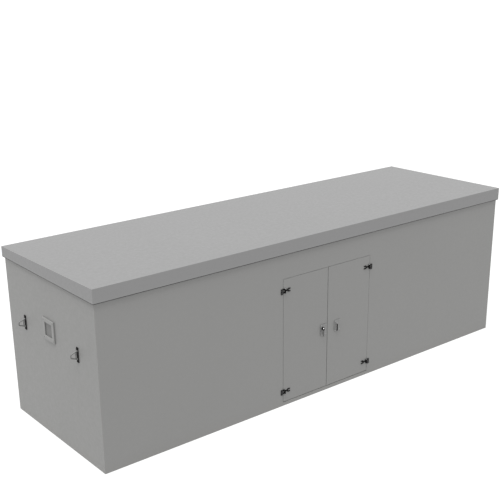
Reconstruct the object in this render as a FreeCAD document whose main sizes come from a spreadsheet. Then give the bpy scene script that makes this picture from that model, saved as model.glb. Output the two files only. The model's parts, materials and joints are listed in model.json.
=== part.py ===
"""Walk-in standby generator set in a weatherproof steel enclosure.

Row frame: origin at the centre of the footprint on the ground, +X along the door wall to the right
as seen from outside the doors, +Y from the door wall to the rear wall, +Z up. Millimetres.
"""

import FreeCAD, Part
import math
import os
import re
import Sketcher

Vector = FreeCAD.Vector
Rotation = FreeCAD.Rotation

SIZES = {
    # enclosure shell
    "body_length": 8235,
    "body_width": 2590,
    "eave_height": 2503,
    "roof_front": 2708,
    "roof_rear": 2654,
    "eave_overhang": 27.5,
    "roof_sheet": 3,
    "wall_thick": 60,
    "skin_thick": 2,
    "base_height": 100,
    "tube_wide": 60,
    "tube_wall": 5,
    "floor_thick": 5,
    "post_wall": 3,
    "joist_count": 9,
    "purlin_count": 5,
    # doorway and leaves
    "opening_half": 923,
    "opening_bottom": 62,
    "opening_top": 2109,
    "leaf_gap": 5,
    "foot_gap": 8,
    "leaf_thick": 50,
    "frame_cover": 30,
    "jamb_cover": 85,
    "frame_wide": 70,
    "seal_thick": 9.5,
    "seal_inset": 4,
    "seal_wide": 24,
    # hinges
    "hinge_axis_in": 28,
    "hinge_axis_out": 16,
    "hinge_upper": 1921,
    "hinge_lower": 247,
    "hinge_high": 72,
    "barrel_radius": 12.5,
    "pin_radius": 7,
    "running_gap": 0.05,
    "hinge_plate_wide": 47,
    "hinge_plate_high": 90,
    "hinge_plate_drop": 11,
    "ear_share": 0.24,
    "strap_long": 110,
    "prong_out": 28,
    "prong_in": 13,
    "strap_thick": 10,
    "strap_root_at": 2,
    "strap_root_half": 16,
    "strap_waist_at": 30,
    "strap_waist_half": 9,
    "strap_neck_at": 50,
    "strap_neck_half": 11,
    "strap_fork_at": 64,
    "strap_crotch_at": 68,
    "prong_root_at": 78,
    "hinge_clip": 6,
    "hinge_plate_gap": 1,
    "ear_reach": 8,
    "ear_inset": 2,
    "pin_cap_lip": 3,
    "pin_cap_high": 4,
    # locks and pulls
    "plate_wide": 130,
    "plate_high": 186,
    "plate_thick": 10,
    "plate_clip": 8,
    "lock_plate_at": 88,
    "pull_plate_at": 213,
    "plate_centre": 1077,
    "lever_at": 109,
    "lever_height": 1102,
    "lever_long": 122,
    "grip_thick": 9,
    "hub_radius": 24,
    "hub_long": 24,
    "hub_gap": 1,
    "grip_top_half": 12,
    "grip_middle_half": 10,
    "grip_tip_half": 7,
    "grip_middle_share": 0.6,
    "spindle_in_hub": 14,
    "spindle_past_leaf": 8,
    "cam_radius": 28,
    "cam_thick": 8,
    "cam_gap": 3,
    "spindle_radius": 8,
    "key_at": 78,
    "key_height": 1010,
    "key_radius": 9,
    "key_proud": 3,
    "key_slot_wide": 2.4,
    "key_slot_high": 10,
    "pull_bar_at": 185,
    "pull_bar_height": 1060,
    "pull_bar_long": 136,
    "pull_bar_out": 46,
    "pull_bar_radius": 9,
    "rod_radius": 8,
    "rod_set_in": 78,
    "rod_clear": 5,
    "rod_from_lever": 34,
    "guide_top": 1960,
    "guide_over_lever": 1300,
    "guide_under_lever": 940,
    "guide_foot": 240,
    "guide_wide": 40,
    "guide_deep": 42,
    "guide_high": 36,
    "guide_play": 0.5,
    "bolt_long": 260,
    # end wall fittings
    "port_at": 30,
    "port_height": 1720,
    "port_size": 322,
    "port_open": 205,
    "port_proud": 22,
    "gland_size": 262,
    "gland_thick": 6,
    "loop_line": 10,
    "loop_spread": 775,
    "loop_height": 1607,
    "loop_plate_high": 222,
    "loop_plate_wide": 50,
    "loop_plate_thick": 11,
    "loop_out": 118,
    "loop_root_half": 60,
    "loop_tip_half": 23,
    "loop_radius": 8.5,
    "loop_rung_out": 36,
    "loop_rung_radius": 6,
    "loop_bolt_inset": 18,
    "bolt_head": 9,
    # louvres
    "intake_wide": 1100,
    "intake_high": 1400,
    "intake_height": 1300,
    "intake_first": 0.36,
    "intake_step": 0.17,
    "discharge_wide": 1500,
    "discharge_high": 1500,
    "discharge_height": 1130,
    "louvre_deep": 75,
    "louvre_proud": 12,
    "louvre_rim": 45,
    "blade_thick": 3,
    "blade_count": 14,
    "blade_overlap": 1.1,
    "blade_slope": 42,
    "blade_first": 0.12,
    # generating set
    "rail_start": -900,
    "rail_end": 3420,
    "rail_gauge": 400,
    "rail_wide": 100,
    "rail_bottom": 165,
    "rail_top": 365,
    "rail_web": 12,
    "rail_flange": 14,
    "tie_inset": 60,
    "tie_long": 100,
    "tie_clear": 40,
    "isolator_count": 4,
    "isolator_inset": 200,
    "isolator_foot_radius": 70,
    "isolator_head_radius": 45,
    "shaft_height": 700,
    "shaft_radius": 45,
    "engine_front": 2700,
    "engine_back": 1300,
    "sump_half": 200,
    "case_half": 330,
    "case_low": 130,
    "case_high": 60,
    "bank_half": 250,
    "bank_low": 170,
    "bank_room_half": 215,
    "bank_room_low": 60,
    "deck_thick": 40,
    "case_room_half": 295,
    "case_room_low": 145,
    "case_room_high": 50,
    "end_thick": 30,
    "shaft_clear": 3,
    "cut_past": 10,
    "foot_first": 150,
    "foot_long": 200,
    "foot_outward": 40,
    "engine_foot_step": 900,
    "engine_foot_in": 300,
    "engine_foot_high": 170,
    "deck_height": 1150,
    "bore_count": 6,
    "head_high": 180,
    "head_half": 200,
    "head_gap": 6,
    "cover_gap": 22,
    "cover_front": 150,
    "cover_rear": 120,
    "manifold_at": 290,
    "manifold_share": 0.25,
    "manifold_radius": 55,
    "manifold_start": 60,
    "manifold_end": 80,
    "branch_radius": 34,
    "branch_long": 75,
    "turbo_start": 480,
    "turbo_long": 230,
    "turbo_radius": 95,
    "turbo_up": 60,
    "turbo_neck_radius": 45,
    "turbo_neck_high": 160,
    "cleaner_start": 120,
    "cleaner_long": 520,
    "cleaner_radius": 165,
    "cleaner_at": -60,
    "cleaner_up": 190,
    "cleaner_lid_long": 40,
    "cleaner_lid_lip": 7,
    "saddle_start": 260,
    "saddle_long": 220,
    "saddle_half": 80,
    "saddle_high": 60,
    "fan_height": 1060,
    "fan_radius": 470,
    "fan_at": 2990,
    "fan_boss_radius": 55,
    "fan_boss_long": 200,
    "fan_seat_deep": 150,
    "fan_shaft_in": 100,
    "fan_shaft_radius": 30,
    "fan_neck_radius": 60,
    "fan_hub_radius": 110,
    "fan_hub_half": 40,
    "fan_blade_thick": 7,
    "fan_blade_wide": 120,
    "fan_blade_root": 90,
    "fan_blade_count": 8,
    "fan_blade_pitch": 32,
    "crank_pulley_radius": 120,
    "fan_pulley_radius": 100,
    "belt_at": 2760,
    "belt_wide": 40,
    "belt_thick": 9,
    "pulley_half": 35,
    "pulley_lip": 8,
    "pulley_seat": 1,
    "core_at": 3250,
    "core_thick": 110,
    "core_half": 600,
    "core_top": 1700,
    "core_bottom": 500,
    "core_inset": 20,
    "header_high": 130,
    "cheek_thick": 30,
    "hood_deep": 170,
    "hood_low": 20,
    "hood_high": 40,
    "hood_lip": 60,
    "fan_tip_clear": 25,
    "hose_radius": 32,
    "hose_bend": 70,
    "upper_hose_at": -210,
    "upper_hose_drop": 50,
    "upper_hose_out": 160,
    "lower_hose_at": 200,
    "lower_hose_far": 300,
    "lower_hose_up": 75,
    "lower_hose_out": 200,
    "lower_hose_turn": 350,
    "alternator_end": -150,
    "alternator_radius": 330,
    "shell_wall": 20,
    "bell_lip": 60,
    "bell_wall": 25,
    "bell_foot": 320,
    "bell_full": 260,
    "bell_room_foot": 300,
    "bell_room_full": 245,
    "end_share": 0.6,
    "end_round": 60,
    "end_room": 70,
    "alternator_foot_step": 700,
    "alternator_foot_in": 230,
    "alternator_foot_high": 110,
    "terminal_start": 260,
    "terminal_long": 600,
    "terminal_half": 230,
    "terminal_sunk": 60,
    "terminal_high": 190,
    "terminal_sheet": 5,
    "rotor_room_start": 75,
    "rotor_room_end": 325,
    "shaft_past": 25,
    "rotor_start": 200,
    "rotor_end": 520,
    "rotor_gap": 90,
    "coupling_lip": 30,
    "flywheel_start": 200,
    "flywheel_end": 110,
    "flywheel_gap": 60,
    "silencer_radius": 220,
    "silencer_height": 2090,
    "silencer_at": 330,
    "silencer_lead": 380,
    "silencer_long": 1450,
    "silencer_wall": 5,
    "neck_lip": 6,
    "neck_wall": 21,
    "neck_long": 60,
    "neck_room_long": 70,
    "cone_end": 110,
    "cone_room_end": 116,
    "hanger_first": 250,
    "hanger_step": 900,
    "hanger_long": 50,
    "hanger_half": 30,
    "hanger_sunk": 4,
    "pipe_radius": 75,
    "pipe_wall": 4,
    "pipe_clear": 15,
    "riser_smaller": 10,
    "riser_lead": 330,
    "tail_proud": 70,
    "outlet_at": 300,
    "cabinet_left": -700,
    "cabinet_wide": 500,
    "cabinet_front": -640,
    "cabinet_deep": 250,
    "cabinet_bottom": 900,
    "cabinet_high": 800,
    "cabinet_sheet": 2,
    "cabinet_leg_inset": 30,
    "cabinet_leg_wide": 50,
    "cabinet_leg_front": 30,
    "cabinet_leg_deep": 40,
    "panel_gap": 2,
    "panel_door_thick": 20,
    "panel_hinge_out": 7,
    "panel_hinge_edge": 100,
    "panel_pin_radius": 2.5,
    "panel_barrel_radius": 5,
    "panel_barrel_half": 15,
    "panel_lug_reach": 27.5,
    "stop_travel": 6,
    "stop_stem_radius": 11,
    "stop_cap_radius": 21,
    "stop_cap_thick": 13,
    "stop_stem_long": 38,
    "stop_stem_out": 20,
    "stop_play": 0.5,
    "stop_from_edge": 110,
    "stop_up": 620,
    # services
    "battery_at": 1500,
    "battery_long": 520,
    "battery_row": 640,
    "battery_top": 345,
    "battery_gap": 40,
    "tank_left": -3700,
    "tank_long": 1000,
    "tank_front": 380,
    "tank_deep": 700,
    "tank_bottom": 560,
    "tank_top": 1360,
    "tank_neck_radius": 40,
    "tank_neck_high": 70,
    "tank_neck_share": 0.7,
    "tank_leg_inset": 20,
}

doc = FreeCAD.newDocument("standby_generator")
sheet = doc.addObject("Spreadsheet::Sheet", "Sizes")
for row, (size_name, number) in enumerate(SIZES.items(), start=1):
    sheet.set(f"A{row}", size_name)
    sheet.set(f"B{row}", str(number))
    sheet.setAlias(f"B{row}", size_name)
doc.recompute()

NODES = {}
HALF_LENGTH = "body_length / 2"
HALF_WIDTH = "body_width / 2"
FRONT = "-body_width / 2"
LEAF_BACK = "-body_width / 2 + leaf_thick"
HINGE_X = "(opening_half - hinge_axis_in)"
HINGE_Y = "(-body_width / 2 - hinge_axis_out)"
PITCH = "((engine_front - engine_back) / bore_count)"
ROUGH_RADIUS = 90
AXES = {"X": Rotation(Vector(0, 1, 0), 90), "Y": Rotation(Vector(1, 0, 0), -90), "Z": Rotation()}


# ---------------------------------------------------------------- drawing helpers


def size(name):
    """A driving size, as a number read from the sheet."""
    return float(sheet.get(name))


def formula(text):
    """The sheet formula for sums written with bare size names."""
    return re.sub(r"[a-z_]+", lambda word: ("Sizes." if word[0] in SIZES else "") + word[0], str(text))


def bind(obj, **formulas):
    """Ties properties of obj to formulas over the sheet."""
    for prop, text in formulas.items():
        obj.setExpression(prop, formula(text))
    return obj


def put(obj, x=0, y=0, z=0):
    """Ties where obj stands to formulas over the sheet, and keeps its turn."""
    for axis, text in zip("xyz", (x, y, z)):
        obj.setExpression(f"Placement.Base.{axis}", formula(text))
    return obj


def box(name, x, y, z):
    """A block between two limits on each axis."""
    block = doc.addObject("Part::Box", name)
    bind(block, Length=f"({x[1]}) - ({x[0]})", Width=f"({y[1]}) - ({y[0]})",
         Height=f"({z[1]}) - ({z[0]})")
    return put(block, x[0], y[0], z[0])


def cylinder(name, axis, radius, length, x, y, z):
    """A round bar that starts at a point and runs along an axis."""
    bar = doc.addObject("Part::Cylinder", name)
    bar.Placement = FreeCAD.Placement(Vector(), AXES[axis])
    bind(bar, Radius=radius, Height=length)
    return put(bar, x, y, z)


def cut(name, base, *tools):
    """Base with every tool taken away."""
    for index, tool in enumerate(tools):
        step = doc.addObject("Part::Cut", f"{name}_cut_{index}")
        step.Base = base
        step.Tool = tool
        base = step
    return base


def join(name, *shapes):
    """Several shapes welded into one solid."""
    whole = doc.addObject("Part::MultiFuse", name)
    whole.Shapes = list(shapes)
    whole.Refine = True
    return whole


def group(name, *shapes):
    """Several loose solids kept as one set."""
    loose = doc.addObject("Part::Compound", name)
    loose.Links = list(shapes)
    return loose


def node(label, obj):
    """Names a finished sub-part."""
    obj.Label = label
    NODES[label] = obj
    return obj


def shaped(name, shape, x=0, y=0, z=0):
    """A sub-part whose outline only Part's own functions can make."""
    feature = doc.addObject("Part::Feature", name)
    feature.Shape = shape
    return put(feature, x, y, z)


def hollow(name, x, y, z, wall, open_axis, open_ends):
    """A sheet box with one or two open sides: open_ends holds -1 and/or 1 along open_axis."""
    limits = {"x": x, "y": y, "z": z}
    inner = {}
    for axis, (low, high) in limits.items():
        low_wall = f"-({wall})" if axis == open_axis and -1 in open_ends else f"({wall})"
        high_wall = f"-({wall})" if axis == open_axis and 1 in open_ends else f"({wall})"
        inner[axis] = (f"{low} + {low_wall}", f"{high} - {high_wall}")
    outer_box = box(f"{name}_outer", x, y, z)
    inner_box = box(f"{name}_inner", inner["x"], inner["y"], inner["z"])
    return cut(name, outer_box, inner_box)


def plane(body, role):
    """One of a body's own origin planes."""
    return next(item for item in body.Origin.OriginFeatures if item.Role == role)


def outline(body, role, points, circles=()):
    """A sketch of one closed outline and round holes, every point tied to the sheet."""
    sketch = body.newObject("Sketcher::SketchObject", f"{body.Name}_outline")
    sketch.AttachmentSupport = [(plane(body, role), "")]
    sketch.MapMode = "FlatFace"
    count = len(points)
    turns = [2 * math.pi * i / count for i in range(count)]
    rough = [Vector(ROUGH_RADIUS * math.cos(turn), ROUGH_RADIUS * math.sin(turn), 0) for turn in turns]
    for i in range(count):
        sketch.addGeometry(Part.LineSegment(rough[i], rough[(i + 1) % count]), False)
    for i in range(count):
        sketch.addConstraint(Sketcher.Constraint("Coincident", i, 2, (i + 1) % count, 1))
    for i, (across, up) in enumerate(points):
        fix_point(sketch, i, 1, rough[i], across, up)
    for across, up, radius in circles:
        ring = sketch.addGeometry(Part.Circle(Vector(), Vector(0, 0, 1), 1), False)
        fix_point(sketch, ring, 3, Vector(), across, up)
        fix = sketch.addConstraint(Sketcher.Constraint("Radius", ring, 1.0))
        sketch.setExpression(f"Constraints[{fix}]", formula(radius))
    return sketch


def fix_point(sketch, item, end, at, across, up):
    """Ties one sketch point to formulas over the sheet."""
    for kind, value, text in (("DistanceX", at.x, across), ("DistanceY", at.y, up)):
        fix = sketch.addConstraint(Sketcher.Constraint(kind, -1, 1, item, end, value))
        sketch.setExpression(f"Constraints[{fix}]", formula(text))


def plate_body(name, role, points, thick, circles=()):
    """A body padded from an outline, away from its plane."""
    body = doc.addObject("PartDesign::Body", name)
    sketch = outline(body, role, points, circles)
    pad = body.newObject("PartDesign::Pad", f"{name}_pad")
    pad.Profile = sketch
    bind(pad, Length=thick)
    return body


def turned_body(name, profile):
    """A body of revolution about the X axis, from (along, radius) points."""
    body = doc.addObject("PartDesign::Body", name)
    sketch = outline(body, "XZ_Plane", profile)
    turn = body.newObject("PartDesign::Revolution", f"{name}_turn")
    turn.Profile = sketch
    turn.ReferenceAxis = (sketch, ["H_Axis"])
    turn.Angle = 360
    return body


def bent_path(points, bend):
    """A wire of straight runs joined by tangent arcs of one radius."""
    edges = []
    start = points[0]
    for before, corner, after in zip(points, points[1:], points[2:]):
        back = (before - corner).normalize()
        ahead = (after - corner).normalize()
        half = back.getAngle(ahead) / 2
        reach = bend / math.tan(half)
        entry = corner + back * reach
        leave = corner + ahead * reach
        centre = corner + (back + ahead).normalize() * (bend / math.sin(half))
        middle = centre + (corner - centre).normalize() * bend
        edges.append(Part.LineSegment(start, entry).toShape())
        edges.append(Part.Arc(entry, middle, leave).toShape())
        start = leave
    edges.append(Part.LineSegment(start, points[-1]).toShape())
    return Part.Wire(edges)


def bent_bar(points, radius, bend):
    """A round bar or pipe along a bent path, cut square at both ends."""
    path = bent_path(points, bend)
    ahead = (points[1] - points[0]).normalize()
    section = Part.Wire(Part.Circle(points[0], ahead, radius).toShape())
    return path.makePipeShell([section], True, True)


def bent_pipe(points, radius, wall, bend):
    """An open-ended tube along a bent path."""
    return bent_bar(points, radius, bend).cut(bent_bar(points, radius - wall, bend))


# ---------------------------------------------------------------- enclosure structure


def make_base():
    """Welded tube underframe: two long rails, two end rails and cross joists, under the floor plate."""
    inner_x = f"({HALF_LENGTH} - wall_thick)"
    inner_y = f"({HALF_WIDTH} - wall_thick)"
    height = ("0", "base_height")
    pieces = []
    for side, sign in (("front", "-"), ("rear", "")):
        limits = sorted_pair(sign, inner_y, f"({inner_y} - tube_wide)")
        rail = hollow(f"{side}_rail", (f"-{inner_x}", inner_x), limits, height, "tube_wall", "x",
                      (-1, 1))
        if side == "front":
            rod_way = cylinder("rail_rod_way", "Z", "rod_radius + 1", "4 * tube_wall",
                               "-lever_at", f"{FRONT} + rod_set_in", "base_height - 2 * tube_wall")
            rail = cut("rail_rod_hole", rail, rod_way)
        pieces.append(rail)
    between = (f"-{inner_y} + tube_wide", f"{inner_y} - tube_wide")
    for side, sign in (("left", "-"), ("right", "")):
        limits = sorted_pair(sign, inner_x, f"({inner_x} - tube_wide)")
        pieces.append(hollow(f"{side}_end_rail", limits, between, height, "tube_wall", "y", (-1, 1)))
    for i in range(int(size("joist_count"))):
        centre = f"{i - size('joist_count') // 2:g} * body_length / (joist_count + 1)"
        limits = (f"{centre} - tube_wide / 2", f"{centre} + tube_wide / 2")
        pieces.append(hollow(f"joist_{i}", limits, between, height, "tube_wall", "y", (-1, 1)))
    node("base_frame", group("base_group", *pieces))
    deck = box("deck", (f"-{inner_x}", inner_x), (f"-{inner_y}", inner_y),
               ("base_height", "base_height + floor_thick"))
    rod_way = cylinder("deck_rod_way", "Z", "rod_radius + 1", "4 * floor_thick",
                       "-lever_at", f"{FRONT} + rod_set_in", "base_height - floor_thick")
    node("floor_plate", cut("floor", deck, rod_way))


def sorted_pair(sign, outer, inner):
    """The limits of something that lies at one side, lowest first."""
    return (f"-{outer}", f"-{inner}") if sign == "-" else (inner, outer)


def wall_layers(name, x, y, z, open_axis, open_end):
    """One wall panel: a folded steel cassette, its insulation slab and its inner liner sheet."""
    skin = hollow(f"{name}_skin", x, y, z, "skin_thick", open_axis, (open_end,))
    limits = {"x": x, "y": y, "z": z}
    inner = {axis: (f"{pair[0]} + skin_thick", f"{pair[1]} - skin_thick")
             for axis, pair in limits.items()}
    low, high = limits[open_axis]
    face = high if open_end > 0 else low
    step = "-" if open_end > 0 else "+"
    sheet_limits = [face, f"{face} {step} skin_thick"]
    slab_limits = [f"{face} {step} skin_thick", f"{face} {step} (wall_thick - skin_thick)"]
    if open_end > 0:
        sheet_limits.reverse()
        slab_limits.reverse()
    liner = box(f"{name}_liner", **{**inner, open_axis: tuple(sheet_limits)})
    slab = box(f"{name}_slab", **{**inner, open_axis: tuple(slab_limits)})
    return skin, slab, liner


def make_walls():
    """Front wall in three cassettes round the doorway, rear wall and two end walls, with openings."""
    half_x = f"({HALF_LENGTH})"
    half_y = f"({HALF_WIDTH})"
    full = ("0", "eave_height")
    front = (f"-{half_y}", f"-{half_y} + wall_thick")
    rear = (f"{half_y} - wall_thick", half_y)
    between = (f"-{half_y} + wall_thick", f"{half_y} - wall_thick")
    above_floor = ("base_height", "eave_height - wall_thick")
    left, right = (f"-{half_x}", f"-{half_x} + wall_thick"), (f"{half_x} - wall_thick", half_x)
    doorway = ("-opening_half", "opening_half")
    over_door = ("opening_top", "eave_height")
    panels = {
        "front_left": wall_layers("front_left", (f"-{half_x}", "-opening_half"), front, full, "y", 1),
        "front_right": wall_layers("front_right", ("opening_half", half_x), front, full, "y", 1),
        "header": wall_layers("header", doorway, front, over_door, "y", 1),
        "rear": wall_layers("rear", (f"-{half_x}", half_x), rear, full, "y", -1),
        "left_end": wall_layers("left_end", left, between, full, "x", 1),
        "right_end": wall_layers("right_end", right, between, full, "x", -1),
    }
    cutters = {
        "header": [flush_bolt_way("header_bolt_way", "opening_top - leaf_gap")],
        "rear": [intake_cutter(i) for i in range(2)] + [exhaust_cutter()],
        "left_end": [port_cutter()],
        "right_end": [discharge_cutter()],
    }
    finished = {}
    for name, layers in panels.items():
        tools = cutters.get(name, [])
        finished[name] = [cut(f"{name}_layer_{i}", layer, *tools) for i, layer in enumerate(layers)]
    fronts = [finished[name] for name in ("front_left", "front_right", "header")]
    node("front_wall", group("front_wall_group", *[layers[0] for layers in fronts]))
    node("rear_wall", finished["rear"][0])
    node("left_end_wall", finished["left_end"][0])
    node("right_end_wall", finished["right_end"][0])
    node("wall_insulation", group("insulation_group", *[layers[1] for layers in finished.values()]))
    node("wall_liners", group("liner_group", *[layers[2] for layers in finished.values()]))
    posts = []
    for i, (sign_x, sign_y) in enumerate((("-", "-"), ("", "-"), ("-", ""), ("", ""))):
        across = sorted_pair(sign_x, f"({half_x} - wall_thick)", f"({half_x} - wall_thick - tube_wide)")
        along = sorted_pair(sign_y, f"({half_y} - wall_thick)", f"({half_y} - wall_thick - tube_wide)")
        height = (f"{above_floor[0]} + floor_thick", above_floor[1])
        posts.append(hollow(f"post_{i}", across, along, height, "post_wall", "z", (-1, 1)))
    node("corner_posts", group("post_group", *posts))


def intake_cutter(i):
    """Hole through the rear wall for one intake louvre."""
    centre = intake_centre(i)
    return box(f"intake_hole_{i}", (f"{centre} - intake_wide / 2", f"{centre} + intake_wide / 2"),
               (f"{HALF_WIDTH} - 2 * wall_thick", f"{HALF_WIDTH} + wall_thick"),
               ("intake_height - intake_high / 2", "intake_height + intake_high / 2"))


def intake_centre(i):
    """Where along the rear wall an intake louvre is centred: both are at the generator's cool end."""
    return f"(-body_length * (intake_first - intake_step * {i}))"


def exhaust_cutter():
    """Round hole through the rear wall for the tail pipe."""
    return cylinder("exhaust_hole", "Y", "pipe_radius + pipe_clear", "3 * wall_thick",
                    "outlet_at", f"{HALF_WIDTH} - 2 * wall_thick", "silencer_height")


def discharge_cutter():
    """Hole through the right end wall for the radiator's air."""
    return box("discharge_hole", (f"{HALF_LENGTH} - 2 * wall_thick", f"{HALF_LENGTH} + wall_thick"),
               ("-discharge_wide / 2", "discharge_wide / 2"),
               ("discharge_height - discharge_high / 2", "discharge_height + discharge_high / 2"))


def port_cutter():
    """Square hole through the left end wall behind the gland plate."""
    return box("port_hole", (f"-{HALF_LENGTH} - wall_thick", f"-{HALF_LENGTH} + 2 * wall_thick"),
               ("port_at - port_open / 2", "port_at + port_open / 2"),
               ("port_height - port_open / 2", "port_height + port_open / 2"))


def flush_bolt_way(name, start):
    """Clearance hole for the right leaf's concealed bolts, in the middle of the leaf's thickness."""
    return cylinder(name, "Z", "rod_radius + 1", "12 * leaf_gap", "pull_plate_at / 4",
                    f"{FRONT} + leaf_thick / 2", start)


def make_roof():
    """Mono-pitch sheet roof with deep fascias and a turned-in lower edge, its purlins, the ceiling."""
    reach = f"({HALF_WIDTH} + eave_overhang)"
    length = "body_length + 2 * eave_overhang"
    body = doc.addObject("PartDesign::Body", "roof_body")
    pad = body.newObject("PartDesign::Pad", "roof_pad")
    pad.Profile = outline(body, "YZ_Plane",
                          [(f"-{reach}", "eave_height"), (reach, "eave_height"), (reach, "roof_rear"),
                           (f"-{reach}", "roof_front")])
    pad.Midplane = True
    bind(pad, Length=length)
    room = f"({reach} - roof_sheet)"
    cavity = body.newObject("PartDesign::Pocket", "roof_cavity")
    cavity.Profile = outline(body, "YZ_Plane", [
        (f"-{room}", "eave_height + roof_sheet"), (room, "eave_height + roof_sheet"),
        (room, "roof_rear - roof_sheet"), (f"-{room}", "roof_front - roof_sheet")])
    cavity.Midplane = True
    bind(cavity, Length=f"{length} - 2 * roof_sheet")
    mouth = body.newObject("PartDesign::Pocket", "roof_mouth")
    mouth.Profile = outline(body, "YZ_Plane", [
        (FRONT, "eave_height - roof_sheet"), (HALF_WIDTH, "eave_height - roof_sheet"),
        (HALF_WIDTH, "eave_height + 2 * roof_sheet"), (FRONT, "eave_height + 2 * roof_sheet")])
    mouth.Midplane = True
    bind(mouth, Length="body_length")
    node("roof_cover", body)
    inner_x = f"({HALF_LENGTH} - wall_thick)"
    purlins = []
    for i in range(int(size("purlin_count"))):
        centre = f"({i - size('purlin_count') // 2:g} * body_width / purlin_count)"
        far_edge = f"({centre} + tube_wide / 2)"
        fall = f"(roof_front - roof_rear) * ({far_edge} + {reach}) / (2 * {reach})"
        top = f"roof_front - roof_sheet - 1 - {fall}"
        purlins.append(hollow(f"purlin_{i}", (f"-{inner_x}", inner_x),
                              (f"{centre} - tube_wide / 2", far_edge), ("eave_height", top),
                              "post_wall", "x", (-1, 1)))
    node("roof_purlins", group("purlin_group", *purlins))
    node("ceiling_panel",
         hollow("ceiling", (f"-{inner_x}", inner_x),
                (f"{FRONT} + wall_thick", f"{HALF_WIDTH} - wall_thick"),
                ("eave_height - wall_thick", "eave_height"), "skin_thick", "z", (1,)))


# ---------------------------------------------------------------- doorway


def make_doorway():
    """Tube portal behind the leaves, its rubber seal and the sill under them."""
    depth = (f"{FRONT} + wall_thick", f"{FRONT} + 2 * wall_thick")
    inner = "(opening_half - jamb_cover)"
    outer = "(opening_half + frame_wide - frame_cover)"
    head = ("opening_top - frame_cover", "opening_top - frame_cover + frame_wide")
    foot = "base_height + floor_thick"
    pieces = []
    for side, sign in (("left", "-"), ("right", "")):
        pieces.append(hollow(f"{side}_jamb", sorted_pair(sign, outer, inner), depth, (foot, head[1]),
                             "post_wall", "z", (-1, 1)))
    beam = hollow("head_beam", (f"-{inner}", inner), depth, head, "post_wall", "x", (-1, 1))
    rod_way = cylinder("head_rod_way", "Z", "rod_radius + 1", "frame_cover", "-lever_at",
                       f"{FRONT} + rod_set_in", f"{head[0]} - frame_cover / 2")
    pieces.append(cut("head_hole", beam, rod_way))
    node("door_frame", group("door_frame_group", *pieces))
    strip = (f"{FRONT} + wall_thick - seal_thick", f"{FRONT} + wall_thick")
    seal_inner = f"({inner} + seal_inset)"
    seal_outer = f"({inner} + seal_inset + seal_wide)"
    seal_top = "opening_top - leaf_gap"
    seals = [box(f"{side}_seal", sorted_pair(sign, seal_outer, seal_inner), strip, (foot, seal_top))
             for side, sign in (("left", "-"), ("right", ""))]
    seals.append(box("head_seal", (f"-{seal_inner}", seal_inner), strip,
                     ("opening_top - frame_cover + seal_inset", seal_top)))
    node("door_seal", group("seal_group", *seals))
    sill = hollow("sill", ("-opening_half", "opening_half"), (FRONT, f"{FRONT} + wall_thick"),
                  ("0", "opening_bottom - 1"), "skin_thick + 1", "y", (1,))
    node("door_threshold",
         cut("sill_bolt_hole", sill, flush_bolt_way("sill_bolt_way", "opening_bottom - 6 * leaf_gap")))


def leaf_limits(side):
    """The sideways limits of a leaf: -1 is the left leaf."""
    return sorted_pair("-" if side < 0 else "", "(opening_half - leaf_gap)", "leaf_gap")


def make_leaf(side, name, holes):
    """A steel pan filled by an insulating core with a backing sheet bonded to it."""
    across = leaf_limits(side)
    depth = (FRONT, LEAF_BACK)
    height = ("opening_bottom + foot_gap", "opening_top - leaf_gap")
    pan = hollow(f"{name}_pan", across, depth, height, "skin_thick", "y", (1,))
    core = box(f"{name}_core_block", (f"{across[0]} + skin_thick", f"{across[1]} - skin_thick"),
               (f"{FRONT} + skin_thick", LEAF_BACK),
               (f"{height[0]} + skin_thick", f"{height[1]} - skin_thick"))
    node(name, cut(f"{name}_drilled", pan, *holes))
    node(f"{name}_core", cut(f"{name}_core_drilled", core, *holes))


def make_leaves():
    """The lock leaf at the left and the bolted leaf at the right."""
    deep = "leaf_thick + 4 * leaf_gap"
    from_front = f"{FRONT} - 2 * leaf_gap"
    spindle = cylinder("spindle_way", "Y", "spindle_radius + 1", deep, "-lever_at", from_front,
                       "lever_height")
    key = cylinder("key_way", "Y", "key_radius + 1", deep, "-key_at", from_front, "key_height")
    make_leaf(-1, "left_leaf", [spindle, key])
    ways = []
    for end, start in (("upper", "opening_top - bolt_long - 4 * leaf_gap"),
                       ("lower", "opening_bottom - leaf_gap")):
        ways.append(cylinder(f"{end}_bolt_bore", "Z", "rod_radius + 1", "bolt_long + 8 * leaf_gap",
                             "pull_plate_at / 4", f"{FRONT} + leaf_thick / 2", start))
    make_leaf(1, "right_leaf", ways)


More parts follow.
